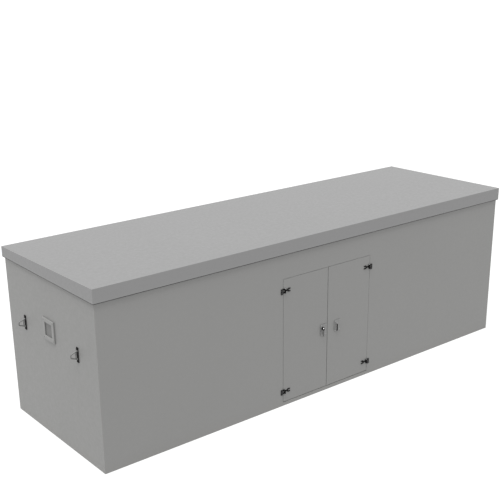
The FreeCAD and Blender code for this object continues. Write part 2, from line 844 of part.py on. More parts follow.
def hinge_set(side, height, name):
    """One lift of a bow-tie strap hinge: fixed plate, swinging strap and pin."""
    s = "-" if side < 0 else ""
    tube = "barrel_radius"
    outer = f"{s}(hinge_axis_in + hinge_plate_wide)"
    clipped = f"{s}(hinge_axis_in + hinge_plate_wide - hinge_clip)"
    plate_in = f"{s}(hinge_axis_in + hinge_plate_gap)"
    half = "hinge_high / 2"
    tall = "(hinge_high * ear_share)"
    foot = "-(hinge_plate_high / 2 + hinge_plate_drop)"
    head = "(hinge_plate_high / 2 - hinge_plate_drop)"
    plate = plate_body(f"{name}_plate", "XZ_Plane", [
        (outer, f"{foot} + hinge_clip"), (clipped, foot), (plate_in, foot),
        (plate_in, head), (clipped, head), (outer, f"{head} - hinge_clip")],
        "strap_thick - ear_inset")
    put(plate, f"{s}{HINGE_X}", FRONT, height)
    ears = []
    for end, low in (("lower", f"-{half}"), ("upper", f"{half} - {tall}")):
        web = box(f"{name}_{end}_web",
                  sorted_pair(s, f"({HINGE_X} + hinge_axis_in + ear_reach)", HINGE_X),
                  (f"{HINGE_Y} + ear_inset", f"{HINGE_Y} + hinge_axis_out - ear_inset"),
                  (f"{height} + {low}", f"{height} + {low} + {tall}"))
        barrel = cylinder(f"{name}_{end}_barrel", "Z", tube, tall, f"{s}{HINGE_X}", HINGE_Y,
                          f"{height} + {low}")
        ears += [web, barrel]
    bore = cylinder(f"{name}_bore", "Z", "pin_radius", "hinge_high * 2", f"{s}{HINGE_X}", HINGE_Y,
                    f"{height} - hinge_high")
    fixed = cut(f"{name}_fixed", join(f"{name}_joined", plate, *ears), bore)
    edge = [("strap_root_at", "strap_root_half"), ("strap_waist_at", "strap_waist_half"),
            ("strap_neck_at", "strap_neck_half"), ("strap_fork_at", "prong_out"),
            ("strap_long", "prong_out"), ("strap_long", "prong_in"), ("prong_root_at", "prong_in")]
    upper_edge = [(f"-({s}{along})", up) for along, up in edge]
    lower_edge = [(f"-({s}{along})", f"-{up}") for along, up in reversed(edge)]
    strap = plate_body(f"{name}_strap", "XZ_Plane",
                       upper_edge + [(f"-({s}strap_crotch_at)", "0")] + lower_edge, "strap_thick")
    put(strap, f"{s}{HINGE_X}", FRONT, height)
    middle = "(hinge_high / 2 - ear_inset / 2)"
    knuckle = cylinder(f"{name}_knuckle", "Z", tube, middle, f"{s}{HINGE_X}", HINGE_Y,
                       f"{height} - {middle} / 2")
    swing_bore = cylinder(f"{name}_swing_bore", "Z", "pin_radius + running_gap", "hinge_high * 2",
                          f"{s}{HINGE_X}", HINGE_Y, f"{height} - hinge_high")
    swinging = cut(f"{name}_swinging", join(f"{name}_strap_joined", strap, knuckle), swing_bore)
    stem = cylinder(f"{name}_stem", "Z", "pin_radius", "hinge_high", f"{s}{HINGE_X}", HINGE_Y,
                    f"{height} - {half}")
    cap = cylinder(f"{name}_cap", "Z", "pin_radius + pin_cap_lip", "pin_cap_high", f"{s}{HINGE_X}", HINGE_Y,
                   f"{height} + {half}")
    return fixed, swinging, join(f"{name}_pin", stem, cap)


def make_hinges():
    """Two strap hinges to each leaf."""
    fixed, pins = [], []
    for side, word in ((-1, "left"), (1, "right")):
        swinging = []
        for level in ("upper", "lower"):
            plate, strap, pin = hinge_set(side, f"hinge_{level}", f"{word}_{level}")
            fixed.append(plate)
            pins.append(pin)
            swinging.append(strap)
        node(f"{word}_hinge_straps", group(f"{word}_strap_group", *swinging))
    node("hinge_frame_plates", group("hinge_plate_group", *fixed))
    node("hinge_pins", group("hinge_pin_group", *pins))


def escutcheon(name, centre, circles):
    """A raised rectangular plate with clipped corners."""
    x, z, clip = "(plate_wide / 2)", "(plate_high / 2)", "plate_clip"
    points = [(f"-{x}", f"-{z} + {clip}"), (f"-{x} + {clip}", f"-{z}"), (f"{x} - {clip}", f"-{z}"),
              (x, f"-{z} + {clip}"), (x, f"{z} - {clip}"), (f"{x} - {clip}", z), (f"-{x} + {clip}", z),
              (f"-{x}", f"{z} - {clip}")]
    return put(plate_body(name, "XZ_Plane", points, "plate_thick", circles), centre, FRONT,
               "plate_centre")


def make_lock():
    """Lever lock with two latch rods on the left leaf, and the key cylinder."""
    node("lock_plate", escutcheon("lock_plate_body", "-lock_plate_at", [
        ("lock_plate_at - lever_at", "lever_height - plate_centre", "spindle_radius + running_gap"),
        ("lock_plate_at - key_at", "key_height - plate_centre", "key_radius + running_gap")]))
    face = f"({FRONT} - plate_thick)"
    boss = cylinder("lever_boss", "Y", "hub_radius", "hub_long", "-lever_at",
                    f"{face} - hub_gap - hub_long", "lever_height")
    spindle = cylinder("lever_spindle", "Y", "spindle_radius",
                       "spindle_in_hub + plate_thick + leaf_thick + spindle_past_leaf",
                       "-lever_at", f"{face} - spindle_in_hub", "lever_height")
    bend = "-grip_middle_share * lever_long"
    grip = plate_body("lever_grip", "XZ_Plane", [
        ("-grip_top_half", "grip_top_half"), ("-grip_middle_half", bend),
        ("-grip_tip_half", "-lever_long"), ("grip_tip_half", "-lever_long"),
        ("grip_middle_half", bend), ("grip_top_half", "grip_top_half")], "grip_thick")
    put(grip, "-lever_at", f"{face} - hub_long", "lever_height")
    cam = cylinder("lever_cam", "Y", "cam_radius", "cam_thick", "-lever_at", f"{LEAF_BACK} + cam_gap",
                   "lever_height")
    node("lock_lever", join("lever_whole", boss, spindle, grip, cam))
    barrel = cylinder("key_barrel", "Y", "key_radius", "plate_thick + leaf_thick / 2", "-key_at",
                      f"{face} - key_proud", "key_height")
    slot = box("key_slot", ("-key_at - key_slot_wide / 2", "-key_at + key_slot_wide / 2"),
               (f"{face} - 2 * key_proud", f"{face} + key_proud"),
               ("key_height - key_slot_high / 2", "key_height + key_slot_high / 2"))
    node("key_cylinder", cut("key_slotted", barrel, slot))
    rod_y = f"{FRONT} + rod_set_in"
    upper_start = "(lever_height + rod_from_lever)"
    upper_end = "(opening_top - frame_cover - rod_clear)"
    lower_start = "(base_height + floor_thick + rod_clear)"
    lower_end = "(lever_height - rod_from_lever)"
    node("upper_latch_rod",
         cylinder("upper_rod", "Z", "rod_radius", f"{upper_end} - {upper_start}", "-lever_at", rod_y,
                  upper_start))
    node("lower_latch_rod",
         cylinder("lower_rod", "Z", "rod_radius", f"{lower_end} - {lower_start}", "-lever_at", rod_y,
                  lower_start))
    guides = []
    for i, height in enumerate(("guide_top", "guide_over_lever", "guide_under_lever", "guide_foot")):
        block = box(f"guide_block_{i}", ("-lever_at - guide_wide / 2", "-lever_at + guide_wide / 2"),
                    (LEAF_BACK, f"{LEAF_BACK} + guide_deep"),
                    (f"{height} - guide_high / 2", f"{height} + guide_high / 2"))
        way = cylinder(f"guide_way_{i}", "Z", "rod_radius + guide_play", "2 * guide_high", "-lever_at",
                       rod_y, f"{height} - guide_high")
        guides.append(cut(f"guide_{i}", block, way))
    node("latch_rod_guides", group("guide_group", *guides))


def make_pull():
    """Fixed pull handle and concealed edge bolts of the right leaf."""
    node("pull_plate", escutcheon("pull_plate_body", "pull_plate_at", []))
    half, out = size("pull_bar_long") / 2, size("pull_bar_out") - size("pull_bar_radius")
    foot = size("plate_thick")
    points = [Vector(0, -foot, half), Vector(0, -out, half), Vector(0, -out, -half),
              Vector(0, -foot, -half)]
    bar = bent_bar(points, size("pull_bar_radius"), 2 * size("pull_bar_radius"))
    node("pull_bar", shaped("pull_bar_shape", bar, "pull_bar_at", FRONT, "pull_bar_height"))
    bolt_y = f"{FRONT} + leaf_thick / 2"
    for end, start in (("upper", "opening_top - leaf_gap - bolt_long"),
                       ("lower", "opening_bottom + foot_gap")):
        node(f"{end}_flush_bolt",
             cylinder(f"{end}_bolt", "Z", "rod_radius", "bolt_long", "pull_plate_at / 4", bolt_y, start))


# ---------------------------------------------------------------- end wall fittings and louvres


def make_end_fittings():
    """Cable port and two fixed tie-down loops, each closed by a rung, on the left end wall."""
    wall = f"(-{HALF_LENGTH})"
    y_mid, z_mid = "port_at", "port_height"
    depth = (f"{wall} - port_proud", wall)
    ring = box("port_ring", depth, (f"{y_mid} - port_size / 2", f"{y_mid} + port_size / 2"),
               (f"{z_mid} - port_size / 2", f"{z_mid} + port_size / 2"))
    window = box("port_window", (f"{wall} - 2 * port_proud", f"{wall} + port_proud"),
                 (f"{y_mid} - port_open / 2", f"{y_mid} + port_open / 2"),
                 (f"{z_mid} - port_open / 2", f"{z_mid} + port_open / 2"))
    seat_y = (f"{y_mid} - gland_size / 2", f"{y_mid} + gland_size / 2")
    seat_z = (f"{z_mid} - gland_size / 2", f"{z_mid} + gland_size / 2")
    seat = box("port_seat", (f"{wall} - gland_thick", f"{wall} + gland_thick"), seat_y, seat_z)
    node("cable_port_frame", cut("port_frame", ring, window, seat))
    node("gland_plate", box("gland_sheet", (f"{wall} - gland_thick", wall), seat_y, seat_z))
    plates, bars, heads = [], [], []
    for i, side in enumerate((-1, 1)):
        centre = f"(loop_line + {side} * loop_spread)"
        plates.append(box(f"loop_plate_{i}", (f"{wall} - loop_plate_thick", wall),
                          (f"{centre} - loop_plate_wide / 2", f"{centre} + loop_plate_wide / 2"),
                          ("loop_height - loop_plate_high / 2", "loop_height + loop_plate_high / 2")))
        root, tip = size("loop_root_half"), size("loop_tip_half")
        inner, outer = size("loop_plate_thick"), size("loop_out") - size("loop_radius")
        points = [Vector(-inner, 0, root), Vector(-outer, 0, tip), Vector(-outer, 0, -tip),
                  Vector(-inner, 0, -root)]
        bar = bent_bar(points, size("loop_radius"), 2 * size("loop_radius"))
        rung_out = size("loop_rung_out")
        rung_half = root + (tip - root) * (rung_out - inner) / (outer - inner)
        rung = Part.makeCylinder(size("loop_rung_radius"), 2 * rung_half,
                                 Vector(-rung_out, 0, -rung_half))
        flat = Part.makeBox(4 * inner, 4 * inner, 4 * root, Vector(-inner, -2 * inner, -2 * root))
        bars.append(shaped(f"loop_bar_{i}", bar.fuse(rung).cut(flat), wall, centre, "loop_height"))
        for j, up in enumerate((-1, 1)):
            heads.append(bolt_head(f"loop_bolt_{i}_{j}", f"{wall} - loop_plate_thick", centre,
                                   f"loop_height + {up} * (loop_plate_high / 2 - loop_bolt_inset)"))
    for i, (across, up) in enumerate(((-1, -1), (-1, 1), (1, -1), (1, 1))):
        offset = "(port_size + port_open) / 4"
        heads.append(bolt_head(f"port_bolt_{i}", f"{wall} - port_proud",
                               f"{y_mid} + {across} * {offset}", f"{z_mid} + {up} * {offset}"))
    node("loop_bracket_plates", group("loop_plate_group", *plates))
    node("loop_bracket_bars", group("loop_bar_group", *bars))
    node("end_wall_bolts", group("bolt_group", *heads))


def bolt_head(name, x, y, z):
    """A hexagon head that stands on a face looking along -X."""
    head = doc.addObject("Part::Prism", name)
    head.Polygon = 6
    head.Placement = FreeCAD.Placement(Vector(), Rotation(Vector(0, 1, 0), -90))
    bind(head, Circumradius="bolt_head", Height="bolt_head * 0.7")
    return put(head, x, y, z)


def louvre(name, wide_size, high_size, outward):
    """A rimmed frame of sloping fixed blades, its face at Y = 0 looking along -Y."""
    width, height, deep = size(wide_size), size(high_size), size("louvre_deep")
    proud, rim = size("louvre_proud"), size("louvre_rim")
    sleeve = Part.makeBox(width, deep, height, Vector(-width / 2, 0, -height / 2))
    flange = Part.makeBox(width + 2 * rim, proud, height + 2 * rim,
                          Vector(-width / 2 - rim, -proud, -height / 2 - rim))
    sheet_wall = 2 * size("blade_thick")
    clear_x, clear_z = width - 2 * sheet_wall, height - 2 * sheet_wall
    window = Part.makeBox(clear_x, 4 * deep, clear_z, Vector(-clear_x / 2, -2 * deep, -clear_z / 2))
    solid = sleeve.fuse(flange).cut(window)
    pitch = clear_z / size("blade_count")
    blades = []
    for i in range(int(size("blade_count"))):
        blade = Part.makeBox(clear_x + sheet_wall, pitch * size("blade_overlap"), size("blade_thick"),
                             Vector(-clear_x / 2 - sheet_wall / 2, 0, 0))
        blade.rotate(Vector(), Vector(1, 0, 0), size("blade_slope"))
        blade.translate(Vector(0, 1, -clear_z / 2 + (i + size("blade_first")) * pitch))
        blades.append(blade)
    solid = solid.fuse(blades).removeSplitter()
    feature = doc.addObject("Part::Feature", name)
    feature.Shape = solid
    feature.Placement = FreeCAD.Placement(Vector(), Rotation(Vector(0, 0, 1), outward))
    return feature


def make_louvres():
    """Two intake louvres in the rear wall and the radiator's discharge louvre in the right end wall."""
    intakes = [put(louvre(f"intake_{i}", "intake_wide", "intake_high", 180), intake_centre(i),
                   HALF_WIDTH, "intake_height") for i in range(2)]
    node("intake_louvres", group("intake_group", *intakes))
    outlet = louvre("discharge", "discharge_wide", "discharge_high", 90)
    node("discharge_louvre", put(outlet, HALF_LENGTH, 0, "discharge_height"))


# ---------------------------------------------------------------- generating set


def make_rails():
    """Two I-section rails with cross ties, on eight spring isolators."""
    pieces = []
    for side, sign in (("front", "-"), ("rear", "")):
        edge_y = sorted_pair(sign, "(rail_gauge + rail_wide / 2)", "(rail_gauge - rail_wide / 2)")
        bar = box(f"{side}_beam", ("rail_start", "rail_end"), edge_y, ("rail_bottom", "rail_top"))
        slots = []
        for edge in (-1, 1):
            near = f"({sign or '+'}rail_gauge + {edge} * rail_wide / 2)"
            reach = "(rail_wide - rail_web) / 2"
            limits = (f"{near} - {reach}", f"{near} + {reach}")
            slots.append(box(f"{side}_slot_{edge + 1}", ("rail_start - 1", "rail_end + 1"), limits,
                             ("rail_bottom + rail_flange", "rail_top - rail_flange")))
        pieces.append(cut(f"{side}_i_beam", bar, *slots))
    for i in range(4):
        run = "(rail_end - rail_start - 2 * tie_inset - tie_long)"
        start = f"(rail_start + tie_inset + {i} * {run} / 3)"
        pieces.append(box(f"tie_{i}", (start, f"{start} + tie_long"),
                          ("-rail_gauge + rail_wide / 2", "rail_gauge - rail_wide / 2"),
                          ("rail_bottom + tie_clear", "rail_top - tie_clear")))
    node("genset_rails", group("rail_group", *pieces))
    mounts = []
    for i in range(int(size("isolator_count"))):
        for side, sign in (("front", "-"), ("rear", "")):
            run = "(rail_end - rail_start - 2 * isolator_inset)"
            along = f"rail_start + isolator_inset + {i} * {run} / (isolator_count - 1)"
            mount = doc.addObject("Part::Cone", f"{side}_isolator_{i}")
            bind(mount, Radius1="isolator_foot_radius", Radius2="isolator_head_radius",
                 Height="rail_bottom - base_height - floor_thick")
            mounts.append(put(mount, along, f"{sign}rail_gauge", "base_height + floor_thick"))
    node("vibration_isolators", group("isolator_group", *mounts))


def make_engine():
    """Six-cylinder in-line diesel: crankcase, heads, manifold with turbocharger, and air cleaner."""
    across = [("sump_half", "rail_top"), ("case_half", "rail_top + case_low"),
              ("case_half", "shaft_height + case_high"), ("bank_half", "shaft_height + bank_low"),
              ("bank_half", "deck_height")]
    block = plate_body("block_body", "YZ_Plane",
                       [(f"-{half}", up) for half, up in across[:1]] + across
                       + [(f"-{half}", up) for half, up in reversed(across[1:])],
                       "engine_front - engine_back")
    put(block, "engine_back", 0, 0)
    tunnel = cylinder("crank_tunnel", "X", "shaft_radius + shaft_clear",
                      "engine_front - engine_back + 2 * cut_past", "engine_back - cut_past", 0,
                      "shaft_height")
    fan_seat = cylinder("fan_seat", "X", "fan_shaft_radius + 1", "2 * fan_seat_deep",
                        "engine_front - fan_seat_deep", 0, "fan_height")
    feet = machine_feet("engine_foot", "engine_back", "engine_foot_step", "engine_foot_in",
                        "engine_foot_high")
    room_x = ("engine_back + end_thick", "engine_front - end_thick")
    rooms = [box("cylinder_room", room_x, ("-bank_room_half", "bank_room_half"),
                 ("rail_top + bank_room_low", "deck_height - deck_thick")),
             box("crank_room", room_x, ("-case_room_half", "case_room_half"),
                 ("rail_top + case_room_low", "shaft_height + case_room_high"))]
    cast = cut("engine_hollow", join("engine_joined", block, *feet), *rooms)
    fan_boss = cylinder("fan_boss", "X", "fan_boss_radius", "fan_boss_long",
                        "engine_front - fan_boss_long", 0, "fan_height")
    node("engine_block", cut("engine_bored", join("engine_cast", cast, fan_boss), tunnel, fan_seat))
    make_heads()
    make_manifold()
    make_air_cleaner()


def machine_feet(name, start, step, inner, high):
    """Four feet that carry the engine or the alternator on the rails."""
    feet = []
    for i in range(4):
        near = f"{start} + foot_first + {i % 2} * {step}"
        sideways = ("-rail_gauge - foot_outward", f"-{inner}")
        if i >= 2:
            sideways = (inner, "rail_gauge + foot_outward")
        feet.append(box(f"{name}_{i}", (near, f"{near} + foot_long"), sideways,
                        ("rail_top", f"rail_top + {high}")))
    return feet


def make_heads():
    """One head with its rocker cover over each cylinder."""
    heads = []
    for i in range(int(size("bore_count"))):
        start, end = f"(engine_back + {i} * {PITCH})", f"(engine_back + {i + 1} * {PITCH})"
        base = box(f"head_base_{i}", (f"{start} + head_gap", f"{end} - head_gap"),
                   ("-head_half", "head_half"), ("deck_height", "deck_height + head_high / 2"))
        cover = box(f"head_cover_{i}", (f"{start} + cover_gap", f"{end} - cover_gap"),
                    ("-cover_front", "cover_rear"),
                    ("deck_height + head_high / 2", "deck_height + head_high"))
        heads.append(join(f"head_{i}", base, cover))
    node("cylinder_heads", group("head_group", *heads))


def make_manifold():
    """Exhaust manifold along the rear of the heads, with the turbocharger on its neck."""
    level = "(deck_height + head_high * manifold_share)"
    pipe = cylinder("manifold_pipe", "X", "manifold_radius",
                    "engine_front - engine_back - manifold_start - manifold_end",
                    "engine_back + manifold_start", "manifold_at", level)
    branches = [cylinder(f"manifold_branch_{i}", "Y", "branch_radius", "branch_long",
                         f"engine_back + ({i} + 0.5) * {PITCH}", "head_half", level)
                for i in range(int(size("bore_count")))]
    turbo = cylinder("turbo_body", "X", "turbo_radius", "turbo_long", "engine_back + turbo_start",
                     "manifold_at", "deck_height + head_high + turbo_up")
    neck = cylinder("turbo_neck", "Z", "turbo_neck_radius", "turbo_neck_high",
                    "engine_back + turbo_start + turbo_long / 2", "manifold_at", level)
    node("exhaust_manifold", join("manifold", pipe, turbo, neck, *branches))


def make_air_cleaner():
    """Round air cleaner with its lid, on a saddle over the rocker covers."""
    level = "deck_height + head_high + cleaner_up"
    can = cylinder("cleaner_can", "X", "cleaner_radius", "cleaner_long",
                   "engine_back + cleaner_start", "cleaner_at", level)
    lid = cylinder("cleaner_lid", "X", "cleaner_radius + cleaner_lid_lip", "cleaner_lid_long",
                   "engine_back + cleaner_start + cleaner_long - cleaner_lid_long", "cleaner_at", level)
    saddle = box("cleaner_saddle",
                 ("engine_back + saddle_start", "engine_back + saddle_start + saddle_long"),
                 ("cleaner_at - saddle_half", "cleaner_at + saddle_half"),
                 ("deck_height + head_high", "deck_height + head_high + saddle_high"))
    node("air_cleaner", join("cleaner", can, lid, saddle))


def make_alternator():
    """Hollow generator housing with its flywheel bell, and the rotor and crankshaft that turn in it."""
    shell, room = "alternator_radius", "(alternator_radius - shell_wall)"
    bell = "(alternator_radius + bell_lip)"
    bore = "shaft_radius + shaft_clear"
    housing = turned_body("alternator_body",
                          [("alternator_end", bore), ("alternator_end", f"end_share * {shell}"),
                           ("alternator_end + end_round", shell), ("engine_back - bell_foot", shell),
                           ("engine_back - bell_full", bell), ("engine_back", bell),
                           ("engine_back", f"{bell} - bell_wall"),
                           ("engine_back - bell_room_full", f"{bell} - bell_wall"),
                           ("engine_back - bell_room_foot", room),
                           ("alternator_end + end_room", room),
                           ("alternator_end + shell_wall", f"end_share * {shell} - shell_wall"),
                           ("alternator_end + shell_wall", bore)])
    put(housing, 0, 0, "shaft_height")
    feet = machine_feet("alternator_foot", "alternator_end", "alternator_foot_step",
                        "alternator_foot_in", "alternator_foot_high")
    start, end = "alternator_end + terminal_start", "alternator_end + terminal_start + terminal_long"
    top = "shaft_height + alternator_radius"
    terminal_box = box("terminal_box", (start, end), ("-terminal_half", "terminal_half"),
                       (f"{top} - terminal_sunk", f"{top} + terminal_high"))
    clear = cylinder("rotor_room", "X", room,
                     "engine_back - alternator_end - rotor_room_start - rotor_room_end",
                     "alternator_end + rotor_room_start", 0, "shaft_height")
    terminal_room = box("terminal_room", (f"{start} + terminal_sheet", f"{end} - terminal_sheet"),
                        ("-terminal_half + terminal_sheet", "terminal_half - terminal_sheet"),
                        (f"{top} - terminal_sunk + shell_wall", f"{top} + terminal_high - terminal_sheet"))
    whole = join("alternator_joined", housing, terminal_box, *feet)
    node("alternator_housing", cut("alternator_whole", whole, clear, terminal_room))
    rotor = turned_body("crank_body",
                        [("alternator_end - shaft_past", "0"),
                         ("alternator_end - shaft_past", "shaft_radius"),
                         ("alternator_end + rotor_start", "shaft_radius"),
                         ("alternator_end + rotor_start", f"{shell} - rotor_gap"),
                         ("engine_back - rotor_end", f"{shell} - rotor_gap"),
                         ("engine_back - rotor_end", "shaft_radius + coupling_lip"),
                         ("engine_back - flywheel_start", "shaft_radius + coupling_lip"),
                         ("engine_back - flywheel_start", f"{bell} - flywheel_gap"),
                         ("engine_back - flywheel_end", f"{bell} - flywheel_gap"),
                         ("engine_back - flywheel_end", "shaft_radius"),
                         *pulley("shaft_radius", "crank_pulley_radius"),
                         ("belt_at + pulley_half", "0")])
    node("crankshaft", put(rotor, 0, 0, "shaft_height"))


def pulley(shaft, seat):
    """The profile of a flanged pulley, from the shaft that it sits on to its far rim."""
    near, far = "belt_at - pulley_half", "belt_at + pulley_half"
    rim, bed = f"{seat} + pulley_lip", f"{seat} - pulley_seat"
    return [(near, shaft), (near, rim), ("belt_at - belt_wide / 2", bed),
            ("belt_at + belt_wide / 2", bed), (far, rim)]


def make_fan():
    """Belt-driven cooling fan with eight pitched blades, and its belt."""
    hub = turned_body("fan_hub",
                      [("engine_front - fan_shaft_in", "0"),
                       ("engine_front - fan_shaft_in", "fan_shaft_radius"),
                       *pulley("fan_shaft_radius", "fan_pulley_radius"),
                       ("belt_at + pulley_half", "fan_neck_radius"),
                       ("fan_at - fan_hub_half", "fan_neck_radius"),
                       ("fan_at - fan_hub_half", "fan_hub_radius"),
                       ("fan_at + fan_hub_half", "fan_hub_radius"), ("fan_at + fan_hub_half", "0")])
    put(hub, 0, 0, "fan_height")
    parts = [hub]
    thick, wide, root = size("fan_blade_thick"), size("fan_blade_wide"), size("fan_blade_root")
    for i in range(int(size("fan_blade_count"))):
        blade = doc.addObject("Part::Box", f"fan_blade_{i}")
        bind(blade, Length="fan_blade_thick", Width="fan_blade_wide",
             Height="fan_radius - fan_blade_root")
        pitch = Rotation(Vector(0, 0, 1), size("fan_blade_pitch"))
        spin = Rotation(Vector(1, 0, 0), 360 / size("fan_blade_count") * i)
        corner = pitch.multVec(Vector(-thick / 2, -wide / 2, 0)) + Vector(0, 0, root)
        offset = spin.multVec(corner)
        blade.Placement = FreeCAD.Placement(offset, spin.multiply(pitch))
        put(blade, f"fan_at + {offset.x:.3f}", f"{offset.y:.3f}", f"fan_height + {offset.z:.3f}")
        parts.append(blade)
    node("cooling_fan", join("fan_whole", *parts))
    node("fan_belt", shaped("belt_loop", belt_shape(), "belt_at", 0, 0))


def belt_shape():
    """The closed belt: two arcs round the pulleys and the two runs tangent to both."""
    low, high = size("shaft_height"), size("fan_height")
    solids = []
    for thick in (0, size("belt_thick")):
        r_low, r_high = size("crank_pulley_radius") + thick, size("fan_pulley_radius") + thick
        lean = math.asin((r_low - r_high) / (high - low))
        up = math.sin(lean)
        out = math.cos(lean)
        corners = ((-1, r_low, low), (-1, r_high, high), (1, r_high, high), (1, r_low, low))
        ends = [Vector(0, side * radius * out, centre + radius * up)
                for side, radius, centre in corners]
        wire = Part.Wire([
            Part.LineSegment(ends[0], ends[1]).toShape(),
            Part.Arc(ends[1], Vector(0, 0, high + r_high), ends[2]).toShape(),
            Part.LineSegment(ends[2], ends[3]).toShape(),
            Part.Arc(ends[3], Vector(0, 0, low - r_low), ends[0]).toShape()])
        face = Part.Face(wire)
        face.translate(Vector(-size("belt_wide") / 2, 0, 0))
        solids.append(face.extrude(Vector(size("belt_wide"), 0, 0)))
    return solids[1].cut(solids[0])


def make_cooling():
    """Radiator with tanks and side frames, its fan shroud and two coolant hoses."""
    across = ("-core_half", "core_half")
    deep = ("core_at", "core_at + core_thick")
    core = box("radiator_core", ("core_at + core_inset", "core_at + core_thick - core_inset"), across,
               ("core_bottom", "core_top"))
    tanks = [box("top_tank", deep, across, ("core_top", "core_top + header_high")),
             box("bottom_tank", deep, across, ("rail_top", "core_bottom"))]
    sides = [box(f"{side}_cheek", deep, sorted_pair(sign, "(core_half + cheek_thick)", "core_half"),
                 ("rail_top", "core_top + header_high")) for side, sign in (("front", "-"), ("rear", ""))]
    node("radiator", join("radiator_whole", core, *tanks, *sides))
    hood = hollow("hood", ("core_at - hood_deep", "core_at"), across,
                  ("core_bottom + hood_low", "core_top - hood_high"), "cabinet_sheet + 1", "x", (1,))
    ring = cylinder("hood_hole", "X", "fan_radius + fan_tip_clear", "2 * hood_lip",
                    "core_at - hood_deep - hood_lip", 0, "fan_height")
    node("fan_shroud", cut("shroud", hood, ring))
    front, near = size("engine_front"), size("core_at")
    upper_y, upper_x = size("upper_hose_at"), front + size("upper_hose_out")
    outlet_z = size("deck_height") - size("upper_hose_drop")
    tank_z = size("core_top") + size("header_high") / 2
    upper = [Vector(front, upper_y, outlet_z), Vector(upper_x, upper_y, outlet_z),
             Vector(upper_x, upper_y, tank_z), Vector(near, upper_y, tank_z)]
    lower_z = size("rail_top") + size("lower_hose_up")
    start_y, end_y = size("lower_hose_at"), size("lower_hose_far")
    lower = [Vector(front, start_y, lower_z), Vector(front + size("lower_hose_out"), start_y, lower_z),
             Vector(front + size("lower_hose_turn"), end_y, lower_z), Vector(near, end_y, lower_z)]
    radius, bend = size("hose_radius"), size("hose_bend")
    hoses = [shaped("upper_hose", bent_bar(upper, radius, bend)),
             shaped("lower_hose", bent_bar(lower, radius, bend))]
    node("coolant_hoses", group("hose_group", *hoses))


def make_exhaust():
    """Silencer under the ceiling, its riser from the turbocharger and the tail pipe."""
    r = "silencer_radius"
    start, end = "outlet_at + silencer_lead", "outlet_at + silencer_lead + silencer_long"
    neck, bore = "pipe_radius + neck_lip", "pipe_radius + neck_lip - neck_wall"
    room = f"{r} - silencer_wall"
    can = turned_body("silencer_body",
                      [(start, bore), (start, neck), (f"{start} + neck_long", neck),
                       (f"{start} + cone_end", r), (f"{end} - cone_end", r),
                       (f"{end} - neck_long", neck), (end, neck), (end, bore),
                       (f"{end} - neck_room_long", bore), (f"{end} - cone_room_end", room),
                       (f"{start} + cone_room_end", room), (f"{start} + neck_room_long", bore)])
    put(can, 0, "silencer_at", "silencer_height")
    hangers = []
    for i in range(2):
        near = f"{start} + hanger_first + {i} * hanger_step"
        hangers.append(box(f"hanger_{i}", (near, f"{near} + hanger_long"),
                           ("silencer_at - hanger_half", "silencer_at + hanger_half"),
                           (f"silencer_height + {r} - hanger_sunk", "eave_height - wall_thick")))
    node("silencer", join("silencer_whole", can, *hangers))
    radius, y_at, high = size("pipe_radius"), size("silencer_at"), size("silencer_height")
    silencer_left = size("outlet_at") + size("silencer_lead")
    silencer_right = silencer_left + size("silencer_long")
    pipe_end = size("body_width") / 2 + size("tail_proud")
    tail_path = [Vector(silencer_left, y_at, high), Vector(size("outlet_at"), y_at, high),
                 Vector(size("outlet_at"), pipe_end, high)]
    tail = bent_pipe(tail_path, radius, size("pipe_wall"), 2 * radius)
    turbo_x = size("engine_back") + size("turbo_start") + size("turbo_long")
    turbo_y = size("manifold_at")
    turbo_z = size("deck_height") + size("head_high") + size("turbo_up")
    bend_x = silencer_right + size("riser_lead")
    riser_path = [Vector(turbo_x, turbo_y, turbo_z), Vector(bend_x, turbo_y, turbo_z),
                  Vector(bend_x, y_at, high), Vector(silencer_right, y_at, high)]
    riser = bent_pipe(riser_path, radius - size("riser_smaller"), size("pipe_wall"), 2 * radius)
    node("exhaust_pipe", group("pipe_group", shaped("tail_pipe", tail), shaped("riser_pipe", riser)))


def panel_hinges(left, front, low):
    """Two pin hinges of the control door: fixed lugs with their pin, and the barrels on the door."""
    axis_x = f"({left} - panel_hinge_out)"
    axis_y = f"({front} - panel_door_thick / 2 - panel_gap)"
    lugs, barrels = [], []
    for i, up in enumerate(("panel_hinge_edge", "cabinet_high - panel_hinge_edge")):
        middle = f"({low} + {up})"
        pieces = [cylinder(f"panel_pin_{i}", "Z", "panel_pin_radius", "2 * panel_lug_reach",
                           axis_x, axis_y, f"{middle} - panel_lug_reach")]
        for end, base in (("lower", f"{middle} - panel_lug_reach"),
                          ("upper", f"{middle} + panel_barrel_half + 0.5")):
            name = f"panel_{end}_lug_{i}"
            tall = "panel_lug_reach - panel_barrel_half - 0.5"
            pieces.append(cylinder(f"{name}_eye", "Z", "panel_barrel_radius", tall, axis_x, axis_y, base))
            pieces.append(box(name, (f"{axis_x} - panel_barrel_radius", left), (axis_y, f"{front} + 12"),
                              (base, f"{base} + {tall}")))
        lugs.append(join(f"panel_lug_{i}", *pieces))
        tube = cylinder(f"panel_tube_{i}", "Z", "panel_barrel_radius", "2 * panel_barrel_half",
                        axis_x, axis_y, f"{middle} - panel_barrel_half")
        tab = box(f"panel_tab_{i}", (axis_x, left), (f"{axis_y} - 2", f"{axis_y} + 2"),
                  (f"{middle} - panel_barrel_half", f"{middle} + panel_barrel_half"))
        bore = cylinder(f"panel_bore_{i}", "Z", "panel_pin_radius + running_gap", "4 * panel_barrel_half",
                        axis_x, axis_y, f"{middle} - 2 * panel_barrel_half")
        barrels.append(cut(f"panel_barrel_{i}", join(f"panel_swing_{i}", tube, tab), bore))
    return lugs, barrels


